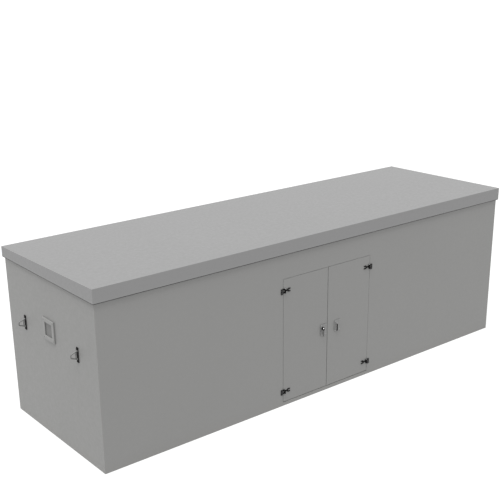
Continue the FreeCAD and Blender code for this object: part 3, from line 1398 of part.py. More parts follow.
def make_services():
    """Starter batteries, fuel day tank and the control cabinet with its door and stop button."""
    floor = "base_height + floor_thick"
    batteries = []
    for i in range(2):
        start = f"battery_at + {i} * (battery_long + battery_gap)"
        batteries.append(box(f"battery_{i}", (start, f"{start} + battery_long"),
                             ("battery_row", "battery_row + battery_long / 2"), (floor, "battery_top")))
    node("starter_batteries", group("battery_group", *batteries))
    tank = box("tank_block", ("tank_left", "tank_left + tank_long"),
               ("tank_front", "tank_front + tank_deep"), ("tank_bottom", "tank_top"))
    stand = []
    for i in range(4):
        leg_x = f"tank_left + tank_leg_inset + {i % 2} * (tank_long - 2 * tank_leg_inset - tube_wide)"
        leg_y = f"tank_front + tank_leg_inset + {i // 2} * (tank_deep - 2 * tank_leg_inset - tube_wide)"
        stand.append(box(f"tank_leg_{i}", (leg_x, f"{leg_x} + tube_wide"),
                         (leg_y, f"{leg_y} + tube_wide"), (floor, "tank_bottom")))
    neck = cylinder("tank_neck", "Z", "tank_neck_radius", "tank_neck_high",
                    "tank_left + tank_neck_share * tank_long", "tank_front + tank_deep / 3", "tank_top")
    node("day_tank", join("tank_whole", tank, neck, *stand))
    left, front, low = "cabinet_left", "cabinet_front", "cabinet_bottom"
    across = (left, f"{left} + cabinet_wide")
    height = (low, f"{low} + cabinet_high")
    shell = hollow("cabinet_shell", across, (front, f"{front} + cabinet_deep"), height,
                   "cabinet_sheet", "y", (-1,))
    legs = []
    for i in range(2):
        run = "(cabinet_wide - 2 * cabinet_leg_inset - cabinet_leg_wide)"
        leg_x = f"{left} + cabinet_leg_inset + {i} * {run}"
        leg_y = "-rail_gauge - cabinet_leg_front"
        legs.append(box(f"cabinet_leg_{i}", (leg_x, f"{leg_x} + cabinet_leg_wide"),
                        (leg_y, f"{leg_y} + cabinet_leg_deep"), ("rail_top", low)))
    lugs, barrels = panel_hinges(left, front, low)
    node("control_cabinet", group("cabinet_group", shell, *legs, *lugs))
    door_front = f"({front} - panel_door_thick - panel_gap)"
    door = hollow("cabinet_door", across, (door_front, f"{front} - panel_gap"), height,
                  "cabinet_sheet", "y", (1,))
    stop_x, stop_z = f"{left} + stop_from_edge", f"{low} + stop_up"
    hole = cylinder("stop_hole", "Y", "stop_stem_radius + stop_play", "2 * panel_door_thick",
                    stop_x, f"{door_front} - panel_door_thick / 2", stop_z)
    node("control_door", group("panel_door_group", cut("cabinet_door_drilled", door, hole), *barrels))
    stem = cylinder("stop_stem", "Y", "stop_stem_radius", "stop_stem_long", stop_x,
                    f"{door_front} - stop_stem_out", stop_z)
    cap = cylinder("stop_cap", "Y", "stop_cap_radius", "stop_cap_thick", stop_x,
                   f"{door_front} - stop_cap_thick - stop_travel - panel_gap", stop_z)
    node("estop_button", join("stop_whole", stem, cap))


# ---------------------------------------------------------------- build, check and write


def check_and_write():
    """Recomputes, stops on any failed object or bad shape, then writes one STEP file per node."""
    doc.recompute()
    for obj in doc.Objects:
        if "Invalid" in obj.State or "Error" in obj.State:
            raise RuntimeError(f"{obj.Name} failed: {obj.State}")
    os.makedirs("parts", exist_ok=True)
    for label, obj in NODES.items():
        shape = obj.Shape
        if shape.isNull() or not shape.isValid() or not shape.Solids:
            raise RuntimeError(f"{label} has no valid solid")
        if shape.Volume <= 0:
            raise RuntimeError(f"{label} is inside out")
        shape.exportStep(f"parts/{label}.step")
    print(f"{len(NODES)} nodes written")


make_base()
make_walls()
make_roof()
make_doorway()
make_leaves()
make_hinges()
make_lock()
make_pull()
make_end_fittings()
make_louvres()
make_rails()
make_engine()
make_alternator()
make_fan()
make_cooling()
make_exhaust()
make_services()
check_and_write()
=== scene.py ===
"""Looks of a walk-in standby generator set: folded skins, fittings, finishes and the machinery inside."""
import json
import math
import random

import bmesh
import bpy
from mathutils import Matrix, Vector


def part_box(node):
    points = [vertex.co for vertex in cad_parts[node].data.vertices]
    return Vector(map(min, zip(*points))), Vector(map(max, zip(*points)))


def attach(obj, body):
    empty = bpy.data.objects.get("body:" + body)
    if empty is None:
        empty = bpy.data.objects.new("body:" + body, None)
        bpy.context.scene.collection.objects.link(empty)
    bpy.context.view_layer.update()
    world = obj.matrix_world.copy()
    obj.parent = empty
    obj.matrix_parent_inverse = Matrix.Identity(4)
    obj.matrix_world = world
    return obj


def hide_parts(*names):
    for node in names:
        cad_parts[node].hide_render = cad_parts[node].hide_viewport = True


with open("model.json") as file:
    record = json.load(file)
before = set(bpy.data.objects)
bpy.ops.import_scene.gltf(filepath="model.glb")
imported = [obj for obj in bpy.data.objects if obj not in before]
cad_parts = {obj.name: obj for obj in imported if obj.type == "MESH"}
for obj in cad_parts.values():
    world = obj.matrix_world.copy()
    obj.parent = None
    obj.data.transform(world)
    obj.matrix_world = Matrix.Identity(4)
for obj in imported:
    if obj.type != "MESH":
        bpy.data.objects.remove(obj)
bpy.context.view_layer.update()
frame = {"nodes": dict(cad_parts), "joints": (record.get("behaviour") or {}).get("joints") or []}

NODES = frame["nodes"]
random.seed(41)

SHEET = 0.002
CORNER_RADIUS = 0.006
FOLD_RADIUS = 0.0022
MERGE = 2e-6
CLOSE = 1e-5
FLAT_WITHIN = math.radians(0.6)
ROUND_OVER = math.radians(35)
SHARP_OVER = math.radians(38)

ALONG, TO_LEFT = (1, 0, 0), (-1, 0, 0)
TO_REAR, TO_FRONT = (0, 1, 0), (0, -1, 0)
UP, DOWN = (0, 0, 1), (0, 0, -1)

FRONT_LOW, FRONT_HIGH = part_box("front_wall")
LEFT, RIGHT = FRONT_LOW.x, FRONT_HIGH.x
FRONT, REAR = FRONT_LOW.y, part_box("rear_wall")[1].y
EAVE = FRONT_HIGH.z
WALL_DEEP = FRONT_HIGH.y - FRONT_LOW.y


# ---------------------------------------------------------------- materials


class Shade:
    """Builds the node tree of one material."""

    def __init__(self, name, roughness=0.5, metallic=0.0, **sockets):
        self.material = bpy.data.materials.new(name)
        self.material.use_nodes = True
        self.tree = self.material.node_tree
        self.surface = self.tree.nodes["Principled BSDF"]
        self.surface.inputs["Roughness"].default_value = roughness
        self.surface.inputs["Metallic"].default_value = metallic
        for socket, value in sockets.items():
            self.surface.inputs[socket.replace("_", " ")].default_value = value
        coordinates = self.tree.nodes.new("ShaderNodeTexCoord")
        self.place, self.normal = coordinates.outputs["Object"], coordinates.outputs["Normal"]

    def new(self, kind, inputs, **settings):
        made = self.tree.nodes.new(kind)
        for key, value in settings.items():
            setattr(made, key, value)
        for key, value in inputs.items():
            self.feed(made.inputs[key], value)
        return made

    def feed(self, socket, value):
        if isinstance(value, bpy.types.NodeSocket):
            self.tree.links.new(value, socket)
        else:
            socket.default_value = value

    def stretched(self, scale, turn=(0.0, 0.0, 0.0)):
        made = self.new("ShaderNodeMapping", {"Vector": self.place, "Rotation": turn, "Scale": scale})
        return made.outputs["Vector"]

    def noise(self, scale, detail=3.0, rough=0.5, place=None):
        made = self.new("ShaderNodeTexNoise", {
            "Vector": place or self.place, "Scale": scale, "Detail": detail, "Roughness": rough})
        return made.outputs["Fac"]

    def bands(self, scale, distortion, direction):
        made = self.new("ShaderNodeTexWave", {"Vector": self.place, "Scale": scale, "Distortion": distortion},
                        wave_type="BANDS", bands_direction=direction)
        return made.outputs["Fac"]

    def span(self, value, low, high, to_low=0.0, to_high=1.0):
        made = self.new("ShaderNodeMapRange", {
            "Value": value, "From Min": low, "From Max": high, "To Min": to_low, "To Max": to_high})
        return made.outputs["Result"]

    def maths(self, operation, first, second=0.0):
        return self.new("ShaderNodeMath", {0: first, 1: second}, operation=operation).outputs["Value"]

    def vector(self, operation, *values, output="Vector"):
        made = self.new("ShaderNodeVectorMath", dict(enumerate(values)), operation=operation)
        return made.outputs[output]

    def split(self, vector):
        return self.new("ShaderNodeSeparateXYZ", {"Vector": vector}).outputs

    def mix(self, amount, first, second):
        made = self.new("ShaderNodeMix", {"Factor": amount}, data_type="RGBA")
        self.feed(made.inputs["A"], first)
        self.feed(made.inputs["B"], second)
        return made.outputs["Result"]

    def between(self, value, low, high, first, second, most=1.0):
        """From the first colour towards the second as a value rises from low to high."""
        return self.mix(self.span(value, low, high, 0.0, most), first, second)

    def colour(self, value):
        self.feed(self.surface.inputs["Base Color"], value)

    def rough(self, value, smooth, coarse, low=0.3, high=0.7):
        self.feed(self.surface.inputs["Roughness"], self.span(value, low, high, smooth, coarse))

    def bumps(self, *layers):
        """Each layer is (height, strength, distance), coarse first."""
        normal = None
        for height, strength, distance in layers:
            made = self.new("ShaderNodeBump", {"Height": height, "Strength": strength, "Distance": distance})
            if normal:
                self.feed(made.inputs["Normal"], normal)
            normal = made.outputs["Normal"]
        self.feed(self.surface.inputs["Normal"], normal)


def rgb(red, green=None, blue=None):
    """An opaque colour, grey when one number is given."""
    return (red, red if green is None else green, red if blue is None else blue, 1.0)


def tinted(colour, factor):
    return tuple(min(1.0, part * factor) for part in colour[:3]) + (1.0,)


def sheet_paint(name, colour, roughness=0.5, weather=1.0):
    """Air-dried paint on folded sheet: faint mottling, rain streaks, splash dust low down, orange peel."""
    shade = Shade(name, Specular_IOR_Level=0.35)
    broad, fine = shade.noise(0.55, 4.0, 0.55), shade.noise(21.0, 5.0, 0.6)
    mottle = 0.012 * weather
    tone = shade.between(broad, 0.3, 0.7, tinted(colour, 1 - mottle), tinted(colour, 1 + mottle))
    tone = shade.between(fine, 0.35, 0.65, tone, tinted(colour, 0.975), 0.35)
    runs = shade.noise(1.0, 4.0, 0.55, shade.stretched((19.0, 19.0, 0.42)))
    tone = shade.between(runs, 0.58, 0.78, tone, tinted(colour, 0.88), 0.10 * weather)
    foot = shade.span(shade.split(shade.place)["Z"], 0.0, 0.2, 0.22 * weather, 0.0)
    splash = shade.maths("MULTIPLY", foot, shade.noise(9.0, 5.0, 0.65))
    shade.colour(shade.mix(splash, tone, tinted(rgb(0.33, 0.31, 0.28), colour[0] / 0.36)))
    shade.rough(fine, roughness - 0.05, roughness + 0.07)
    shade.bumps((broad, 0.10, 0.004), (shade.noise(310.0, 2.0), 0.06, 0.0004))
    return shade.material


def powder_coat(name, colour, roughness=0.48, shine=0.5):
    """Fine textured powder coat with rubbed high spots."""
    shade = Shade(name, Specular_IOR_Level=shine)
    shade.colour(shade.between(shade.noise(46.0, 5.0, 0.7), 0.62, 0.8, colour, tinted(colour, 2.6), 0.35))
    shade.rough(shade.noise(60.0), roughness - 0.08, roughness + 0.1)
    shade.bumps((shade.noise(900.0, 2.0), 0.18, 0.0002))
    return shade.material


def brushed_metal(name, colour, roughness, along, metallic=1.0):
    """Metal with fine parallel brushing, handling smudges and faint tarnish."""
    shade = Shade(name, metallic=metallic)
    lines = shade.noise(28.0, 4.0, 0.7, shade.stretched(along))
    smudge = shade.noise(14.0, 4.0, 0.6)
    tone = shade.between(lines, 0.3, 0.7, tinted(colour, 0.86), tinted(colour, 1.08))
    shade.colour(shade.between(smudge, 0.55, 0.75, tone, tinted(colour, 0.72), 0.3))
    shade.rough(smudge, roughness - 0.07, roughness + 0.12)
    shade.bumps((lines, 0.08, 0.0002))
    return shade.material


def zinc(name, colour):
    """Hot-dip zinc with its crystal spangle and dull storage stain."""
    shade = Shade(name, metallic=0.85)
    crystals = shade.new("ShaderNodeTexVoronoi", {"Vector": shade.place, "Scale": 46.0}).outputs["Color"]
    grey = shade.new("ShaderNodeRGBToBW", {"Color": crystals}).outputs["Val"]
    tone = shade.between(grey, 0.1, 0.9, tinted(colour, 0.8), tinted(colour, 1.12))
    shade.colour(shade.between(shade.noise(4.5, 5.0, 0.65), 0.55, 0.75, tone, rgb(0.42, 0.42, 0.41), 0.45))
    shade.rough(grey, 0.36, 0.56, 0.0, 1.0)
    shade.bumps((shade.noise(80.0, 3.0), 0.08, 0.0005))
    return shade.material


def bright_plate(name, colour):
    """Plated bright metal with fingermarks and pin-prick specks."""
    shade = Shade(name, metallic=1.0)
    marks = shade.noise(70.0, 5.0, 0.7)
    shade.colour(shade.between(marks, 0.6, 0.8, colour, tinted(colour, 0.6), 0.4))
    shade.rough(marks, 0.07, 0.24, 0.3, 0.75)
    shade.bumps((shade.noise(500.0, 2.0), 0.03, 0.0001))
    return shade.material


def rubber(name, colour):
    """Moulded rubber with grey bloom and a fine skin."""
    shade = Shade(name, roughness=0.8, Specular_IOR_Level=0.25)
    bloom = shade.noise(24.0, 5.0, 0.65)
    shade.colour(shade.between(bloom, 0.5, 0.75, colour, rgb(0.07, 0.068, 0.064), 0.5))
    shade.rough(bloom, 0.7, 0.9)
    shade.bumps((shade.noise(420.0, 3.0), 0.22, 0.0003))
    return shade.material


def casting(name, colour, roughness=0.5):
    """Enamel over a sand casting, with oil-darkened patches."""
    shade = Shade(name)
    oil, fine = shade.noise(5.0, 6.0, 0.65), shade.noise(150.0, 4.0, 0.6)
    tone = shade.between(fine, 0.35, 0.65, tinted(colour, 0.88), tinted(colour, 1.1))
    shade.colour(shade.between(oil, 0.55, 0.75, tone, tinted(colour, 0.45), 0.6))
    shade.rough(oil, roughness + 0.08, roughness - 0.16, 0.35, 0.75)
    shade.bumps((fine, 0.35, 0.0008))
    return shade.material


def scorched(name):
    """Exhaust steel: scale, straw and blue heat tint, and a dusting of rust."""
    shade = Shade(name, metallic=0.75)
    bands, rust = shade.noise(3.2, 4.0, 0.6), shade.noise(26.0, 6.0, 0.7)
    tone = shade.between(bands, 0.35, 0.6, rgb(0.30, 0.27, 0.23), rgb(0.22, 0.20, 0.22))
    tone = shade.between(bands, 0.58, 0.72, tone, rgb(0.34, 0.22, 0.12), 0.7)
    shade.colour(shade.between(rust, 0.56, 0.7, tone, rgb(0.19, 0.085, 0.04), 0.75))
    shade.rough(rust, 0.42, 0.8, 0.35, 0.7)
    shade.bumps((rust, 0.3, 0.0008))
    return shade.material


def mineral_wool(name, colour):
    """Matted fibre board."""
    shade = Shade(name, roughness=0.95, Specular_IOR_Level=0.1)
    fibres = shade.noise(30.0, 6.0, 0.75, shade.stretched((1.0, 1.0, 9.0)))
    shade.colour(shade.between(fibres, 0.3, 0.7, tinted(colour, 0.7), tinted(colour, 1.15)))
    shade.rough(fibres, 0.88, 1.0)
    shade.bumps((fibres, 0.6, 0.003))
    return shade.material


def moulded(name, colour, roughness=0.45, grain=260.0):
    """Moulded plastic with a fine spark-eroded grain and faint scuffs."""
    shade = Shade(name)
    scuff = shade.noise(38.0, 6.0, 0.7)
    shade.colour(shade.between(scuff, 0.58, 0.78, colour, tinted(colour, 1.6), 0.3))
    shade.rough(scuff, roughness, roughness + 0.15)
    shade.bumps((shade.noise(grain, 2.0), 0.15, 0.0003))
    return shade.material


def perforated(name, colour, holes_per_metre=55.0):
    """Liner sheet with rows of small holes on whichever side it faces, dusty in the lows."""
    shade = Shade(name)
    cell = shade.vector("FRACTION", shade.vector("MULTIPLY", shade.place, (holes_per_metre,) * 3))
    off = shade.vector("SUBTRACT", cell, (0.5, 0.5, 0.5))
    square = shade.vector("MULTIPLY", off, off)
    across = shade.vector("SUBTRACT", (1.0, 1.0, 1.0), shade.vector("ABSOLUTE", shade.normal))
    hole = shade.span(shade.vector("DOT_PRODUCT", square, across, output="Value"), 0.035, 0.05, 1.0, 0.0)
    grime = shade.noise(1.7, 5.0, 0.6)
    tone = shade.between(grime, 0.4, 0.75, colour, tinted(colour, 0.84), 0.5)
    shade.colour(shade.mix(hole, tone, tinted(colour, 0.62)))
    shade.rough(grime, 0.4, 0.58)
    shade.bumps((hole, 0.4, -0.002))
    return shade.material


def tread_plate(name, bars_per_metre=28.0):
    """Steel floor plate with raised bars in alternate directions, worn bright on top."""
    shade = Shade(name, metallic=0.7)
    turned = shade.stretched((bars_per_metre,) * 3, (0.0, 0.0, math.radians(45)))
    cell = shade.new("ShaderNodeTexChecker", {"Vector": turned, "Scale": 1.0}).outputs["Fac"]
    part = shade.split(shade.vector("FRACTION", turned))
    across = [shade.maths("ABSOLUTE", shade.maths("SUBTRACT", part[axis], 0.5)) for axis in "XY"]
    bars = [shade.maths("MULTIPLY", shade.span(across[i], 0.12, 0.06), shade.span(across[1 - i], 0.42, 0.34))
            for i in (0, 1)]
    mixed = shade.new("ShaderNodeMix", {"Factor": cell, "A": bars[0], "B": bars[1]}, data_type="FLOAT")
    bar = mixed.outputs["Result"]
    grime = shade.noise(3.0, 6.0, 0.65)
    base = shade.between(grime, 0.35, 0.7, rgb(0.30, 0.31, 0.31), rgb(0.17, 0.165, 0.16))
    shade.colour(shade.mix(shade.maths("MULTIPLY", bar, 0.6), base, rgb(0.5, 0.51, 0.52)))
    shade.rough(grime, 0.36, 0.62)
    shade.bumps((bar, 0.5, 0.002))
    return shade.material


def finned(name):
    """Radiator core face: dark close fins between flat tubes."""
    shade = Shade(name, metallic=0.5)
    fins, tubes = shade.bands(95.0, 0.3, "Z"), shade.bands(24.0, 0.1, "Y")
    tone = shade.mix(fins, rgb(0.02), rgb(0.13, 0.13, 0.135))
    shade.colour(shade.between(tubes, 0.8, 0.95, tone, rgb(0.16)))
    shade.rough(shade.noise(30.0), 0.5, 0.75)
    shade.bumps((tubes, 0.4, 0.003), (fins, 0.4, 0.002))
    return shade.material


def lens(name, colour):
    """Clear moulded cover over a coloured lamp or display."""
    shade = Shade(name, roughness=0.12, Emission_Strength=0.0)
    tone = shade.between(shade.noise(60.0, 3.0), 0.35, 0.65, tinted(colour, 0.8), tinted(colour, 1.15))
    shade.colour(tone)
    shade.feed(shade.surface.inputs["Emission Color"], tone)
    shade.rough(shade.noise(90.0), 0.08, 0.2)
    shade.bumps((shade.noise(300.0, 2.0), 0.03, 0.0002))
    return shade.material


WALL = rgb(0.1985, 0.1985, 0.1945)
ROOF = rgb(0.194)
BRUSHED_UP = (60.0, 1.0, 1.0)
MATERIALS = {
    "wall": sheet_paint("Wall_paint", WALL),
    # Rounded folds and edges take a lighter copy of the wall paint: painted highlight.
    "wall_edge": sheet_paint("Wall_folds_painted_highlight", tinted(WALL, 1.16), 0.42),
    "roof": sheet_paint("Roof_paint", ROOF, 0.52, 0.8),
    # Rounded edges of the roof cover take a lighter copy of the roof paint: painted highlight.
    "roof_edge": sheet_paint("Roof_folds_painted_highlight", tinted(ROOF, 1.08), 0.45, 0.8),
    "door": sheet_paint("Door_paint", tinted(WALL, 0.99), 0.47, 0.7),
    # Wall paint darkened for the gland plate deep inside the cable port: painted shade.
    "recess": sheet_paint("Recess_painted_shade", tinted(WALL, 0.66), 0.55, 0.8),
    "sealant": rubber("Grey_sealant", rgb(0.125)),
    "fitting": sheet_paint("Fitting_paint", tinted(WALL, 1.05), 0.5, 0.5),
    "black": powder_coat("Black_powder_coat", rgb(0.0045), 0.55, 0.06),
    # Rounded edges of black and dark parts take a lighter, glossier black: painted highlight.
    "black_edge": powder_coat("Black_edges_painted_highlight", rgb(0.012), 0.45, 0.15),
    # Broad front faces of the hinge plates take a lighter, glossier black: painted highlight of their lit
    # faces.
    "hinge_leaf": powder_coat("Black_coat_painted_lit_face", rgb(0.038), 0.5, 0.2),
    "plate": brushed_metal("Satin_plate", rgb(0.215, 0.215, 0.212), 0.46, BRUSHED_UP, 0.4),
    # Rims of the door plates take a lighter, glossier copy of the satin plate: painted highlight.
    "plate_edge": brushed_metal("Satin_plate_rim_highlight", rgb(0.27, 0.27, 0.266), 0.4, BRUSHED_UP, 0.5),
    "bar": brushed_metal("Turned_bar", rgb(0.17, 0.17, 0.168), 0.45, (60.0, 60.0, 2.0), 0.5),
    "bright": bright_plate("Bright_plating", rgb(0.78, 0.78, 0.79)),
    "bolt": bright_plate("Zinc_plated_bolts", rgb(0.5, 0.5, 0.49)),
    "zinc": zinc("Galvanised_steel", rgb(0.52, 0.54, 0.55)),
    "liner": perforated("Perforated_liner", rgb(0.47, 0.48, 0.47)),
    "ceiling": sheet_paint("Ceiling_paint", rgb(0.72, 0.73, 0.72), 0.45, 0.6),
    "floor": tread_plate("Tread_plate"),
    "wool": mineral_wool("Mineral_wool", rgb(0.52, 0.47, 0.34)),
    "rubber": rubber("Black_rubber", rgb(0.022)),
    "engine": casting("Engine_enamel", rgb(0.035, 0.11, 0.15)),
    "dark": powder_coat("Set_frame_paint", rgb(0.028, 0.028, 0.031)),
    "exhaust": scorched("Exhaust_steel"),
    "fins": finned("Radiator_fins"),
    "plastic": moulded("Black_moulding", rgb(0.024)),
    "tank": moulded("Tank_moulding", rgb(0.30, 0.31, 0.28), 0.5, 120.0),
    "cabinet": powder_coat("Cabinet_paint", rgb(0.58, 0.59, 0.57), 0.42),
    "red": moulded("Red_button", rgb(0.55, 0.018, 0.012), 0.28),
    "yellow": powder_coat("Guard_yellow", rgb(0.62, 0.42, 0.03)),
    "display": lens("Display_glass", rgb(0.03, 0.08, 0.09)),
    "lamp": lens("Lamp_lens", rgb(0.75, 0.77, 0.78)),
    "green": lens("Green_lens", rgb(0.02, 0.3, 0.06)),
    "amber": lens("Amber_lens", rgb(0.7, 0.28, 0.02)),
    "copper": brushed_metal("Copper_tube", rgb(0.62, 0.32, 0.2), 0.35, (30.0, 30.0, 30.0)),
}
SLOTS = {
    "wall_paint": "wall recess fitting door", "roof_paint": "roof", "liner_paint": "liner lamp ceiling",
    "black_hardware": "black", "satin_steel": "plate bar", "chrome_parts": "bright bolt copper",
    "galvanised": "zinc", "seal_rubber": "rubber sealant", "set_frame_paint": "dark yellow",
    "fan_plastic": "plastic display green amber", "engine_paint": "engine", "hot_steel": "exhaust",
    "tank_plastic": "tank", "cabinet_paint": "cabinet", "stop_red": "red",
}
SLOT_OF = {key: slot for slot, keys in SLOTS.items() for key in keys.split()}
FINISHES = {
    "zinc": "base_frame corner_posts roof_purlins",
    "floor": "floor_plate",
    "wool": "wall_insulation left_leaf_core right_leaf_core",
    "liner": "wall_liners",
    "ceiling": "ceiling_panel",
    "bolt": "upper_latch_rod lower_latch_rod upper_flush_bolt lower_flush_bolt",
    "bright": "hinge_pins",
    "bar": "loop_bracket_bars",
    "exhaust": "exhaust_pipe",
    "rubber": "vibration_isolators coolant_hoses fan_belt",
    "fins": "radiator",
}


# ---------------------------------------------------------------- mesh helpers


def piece(name, mesh, materials, body="enclosure", stands_for=()):
    """One visible piece from a finished bmesh, riding on a CAD body."""
    data = bpy.data.meshes.new(name)
    bmesh.ops.recalc_face_normals(mesh, faces=mesh.faces)
    mesh.to_mesh(data)
    mesh.free()
    obj = add_object(name, data)
    keys = materials.split()
    for key in keys:
        data.materials.append(MATERIALS[key])
    data.shade_smooth()
    data.set_sharp_from_angle(angle=SHARP_OVER)
    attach(obj, body)
    if stands_for:
        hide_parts(*stands_for)
    return obj


def add_object(name, data):
    obj = bpy.data.objects.new(name, data)
    bpy.context.scene.collection.objects.link(obj)
    return obj


def round_edges(mesh, width, segments=2, edge_material=0):
    """Rounds every edge over a limit; edge_material -1 keeps the material beside the new faces."""
    sharp = [e for e in mesh.edges if e.is_manifold and e.calc_face_angle(0) > ROUND_OVER]
    if sharp:
        bmesh.ops.bevel(mesh, geom=sharp, offset=width, offset_type="OFFSET", segments=segments, profile=0.5,
                        affect="EDGES", clamp_overlap=True, material=edge_material, loop_slide=True)


def weigh_normals(obj):
    """Keeps broad faces flat beside their rounded edges."""
    obj.modifiers.new("weighted", "WEIGHTED_NORMAL").keep_sharp = True
    bake_modifiers(obj)


def bake_modifiers(obj):
    """Replaces an object's mesh by its evaluated mesh."""
    graph = bpy.context.evaluated_depsgraph_get()
    made = bpy.data.meshes.new_from_object(obj.evaluated_get(graph), preserve_all_data_layers=True,
                                           depsgraph=graph)
    obj.modifiers.clear()
    obj.data = made


def node_mesh(node):
    """A copy of a CAD node's mesh with its doubled vertices merged."""
    mesh = bmesh.new()
    mesh.from_mesh(NODES[node].data)
    bmesh.ops.remove_doubles(mesh, verts=mesh.verts, dist=MERGE)
    return mesh


def dressed(node, materials, width, segments=2, body="enclosure", slot=None, zone=None, levels=()):
    """A CAD node's shape with rounded edges; zone picks a face's material, after cuts at levels in Z."""
    mesh = node_mesh(node)
    bmesh.ops.dissolve_limit(mesh, angle_limit=FLAT_WITHIN, verts=mesh.verts, edges=mesh.edges,
                             delimit={"SEAM"})
    for level in levels:
        bmesh.ops.bisect_plane(mesh, geom=[*mesh.verts, *mesh.edges, *mesh.faces], plane_co=(0, 0, level),
                               plane_no=UP)
    for face in mesh.faces:
        face.material_index = zone(face) if zone else 0
    # The second listed material goes on the rounded edges; the lighter edge copies of the wall, roof, plate
    # and black paints there are painted highlights.
    round_edges(mesh, width, segments, 1 if " " in materials else 0)
    weigh_normals(piece(f"{node}_dressed", mesh, materials, body, (node,)))


def spread(start, end, count):
    return [start + (end - start) * i / (count - 1) for i in range(count)]


def rod(radius, high):
    """Profile of a plain round bar for add_turned."""
    return [(0.0, 0.0), (0.0, radius), (high, radius), (high, 0.0)]


def turns_of(count, part=0.0):
    """Angles once round; part shifts them by a share of a step."""
    return [2 * math.pi * (i + part) / count for i in range(count)]


def join_rings(mesh, first, second):
    """A closed band of four-sided faces between two rings of vertices."""
    for i, corner in enumerate(first):
        j = (i + 1) % len(first)
        mesh.faces.new((corner, first[j], second[j], second[i]))


def add_box(mesh, low, high, material=0):
    """A block between two corners."""
    low, high = Vector(low), Vector(high)
    made = bmesh.ops.create_cube(mesh, size=1.0)["verts"]
    size, middle = high - low, (high + low) / 2
    for vert in made:
        vert.co = Vector(vert.co[i] * size[i] + middle[i] for i in range(3))
    for face in {f for v in made for f in v.link_faces}:
        face.material_index = material


def add_prism(mesh, outline, back, face):
    """A plate with a convex outline in X and Z, between two depths in Y."""
    rear, front = ([mesh.verts.new((x, depth, z)) for x, z in outline] for depth in (back, face))
    mesh.faces.new(front)
    mesh.faces.new(list(reversed(rear)))
    join_rings(mesh, front, rear)


def add_turned(mesh, profile, origin, axis, count=32, material=0):
    """A body of revolution from (along, radius) points about an axis through origin."""
    axis = Vector(axis).normalized()
    side = axis.orthogonal().normalized()
    other = axis.cross(side)
    rings = []
    for along, radius in profile:
        centre = Vector(origin) + axis * along
        turns = turns_of(count) if radius else [0.0]
        rings.append([mesh.verts.new(centre + (side * math.cos(t) + other * math.sin(t)) * radius)
                      for t in turns])
    for first, second in zip(rings, rings[1:]):
        for i in range(count):
            j = (i + 1) % count
            corners = [first[i % len(first)], first[j % len(first)],
                       second[j % len(second)], second[i % len(second)]]
            unique = list(dict.fromkeys(corners))
            if len(unique) > 2:
                mesh.faces.new(unique).material_index = material


def add_tube(mesh, points, radius, bend=None, count=12):
    """A round bar along straight runs with rounded corners, closed at both ends."""
    path = rounded_path([Vector(p) for p in points], bend or radius * 2.5)
    ahead = [(b - a).normalized() for a, b in zip(path, path[1:])]
    tangents = [ahead[0]] + [(a + b).normalized() for a, b in zip(ahead, ahead[1:])] + [ahead[-1]]
    side = tangents[0].orthogonal().normalized()
    rings = []
    for place, tangent in zip(path, tangents):
        side = (side - tangent * side.dot(tangent)).normalized()
        other = tangent.cross(side)
        rings.append([mesh.verts.new(place + (side * math.cos(t) + other * math.sin(t)) * radius)
                      for t in turns_of(count)])
    for first, second in zip(rings, rings[1:]):
        join_rings(mesh, first, second)
    mesh.faces.new(rings[0])
    mesh.faces.new(list(reversed(rings[-1])))


def rounded_path(points, bend, steps=6):
    """Straight runs joined by arcs."""
    path = [points[0]]
    for before, corner, after in zip(points, points[1:], points[2:]):
        back, on = (before - corner), (after - corner)
        half = back.angle(on) / 2
        reach = min(bend / math.tan(half), back.length * 0.49, on.length * 0.49)
        radius = reach * math.tan(half)
        back.normalize()
        on.normalize()
        centre = corner + (back + on).normalized() * (radius / math.sin(half))
        start, end = corner + back * reach - centre, corner + on * reach - centre
        total = start.angle(end)
        for t in spread(0.0, 1.0, steps + 1):
            arc = (start * math.sin((1 - t) * total) + end * math.sin(t * total)) / math.sin(total)
            path.append(centre + arc)
    path.append(points[-1])
    return path


def add_ring(mesh, centre, radius, wire, steps=48, count=6):
    """A closed round wire about an X axis."""
    rows = []
    for turn in turns_of(steps):
        out = Vector((0, math.cos(turn), math.sin(turn)))
        ring = [centre + out * (radius + wire * math.cos(t)) + Vector((wire * math.sin(t), 0, 0))
                for t in turns_of(count)]
        rows.append([mesh.verts.new(point) for point in ring])
    for i in range(steps):
        join_rings(mesh, rows[i - 1], rows[i])


def add_dome(mesh, place, axis, radius, high, count=16, steps=5):
    """A domed fastener head standing on a face."""
    edge = 0.25
    profile = [(0.0, radius), (high * edge, radius)]
    for i in range(1, steps + 1):
        turn = math.pi / 2 * i / steps
        reach = radius * math.cos(turn) if i < steps else 0.0
        profile.append((high * (edge + (1 - edge) * math.sin(turn)), reach))
    add_turned(mesh, profile, place, axis, count)


def add_hex(mesh, place, axis, radius, high, material=0):
    """A chamfered hexagon head on a round washer."""
    washer = high * 0.25
    add_turned(mesh, [(0, radius * 1.45), (washer, radius * 1.45), (washer, 0.0)], place, axis, 24, material)
    top = [(washer, 0.0), (washer, radius), (high * 0.88, radius), (high, radius * 0.84), (high, 0.0)]
    add_turned(mesh, top, place, axis, 6, material)


# ---------------------------------------------------------------- folded skins


def wall_path(start, end):
    """Plan points of one wall's outer face, from the middle of one corner's bend to the next."""
    run = (end - start).normalized()
    inward = Vector((-run.y, run.x))
    steps = (45, 30, 15, 0)
    points = []
    for corner, way, turns in ((start, run, steps), (end, -run, reversed(steps))):
        for turn in map(math.radians, turns):
            step = way * (1 - math.sin(turn)) + inward * (1 - math.cos(turn))
            points.append(corner + step * CORNER_RADIUS)
    return points, run, inward


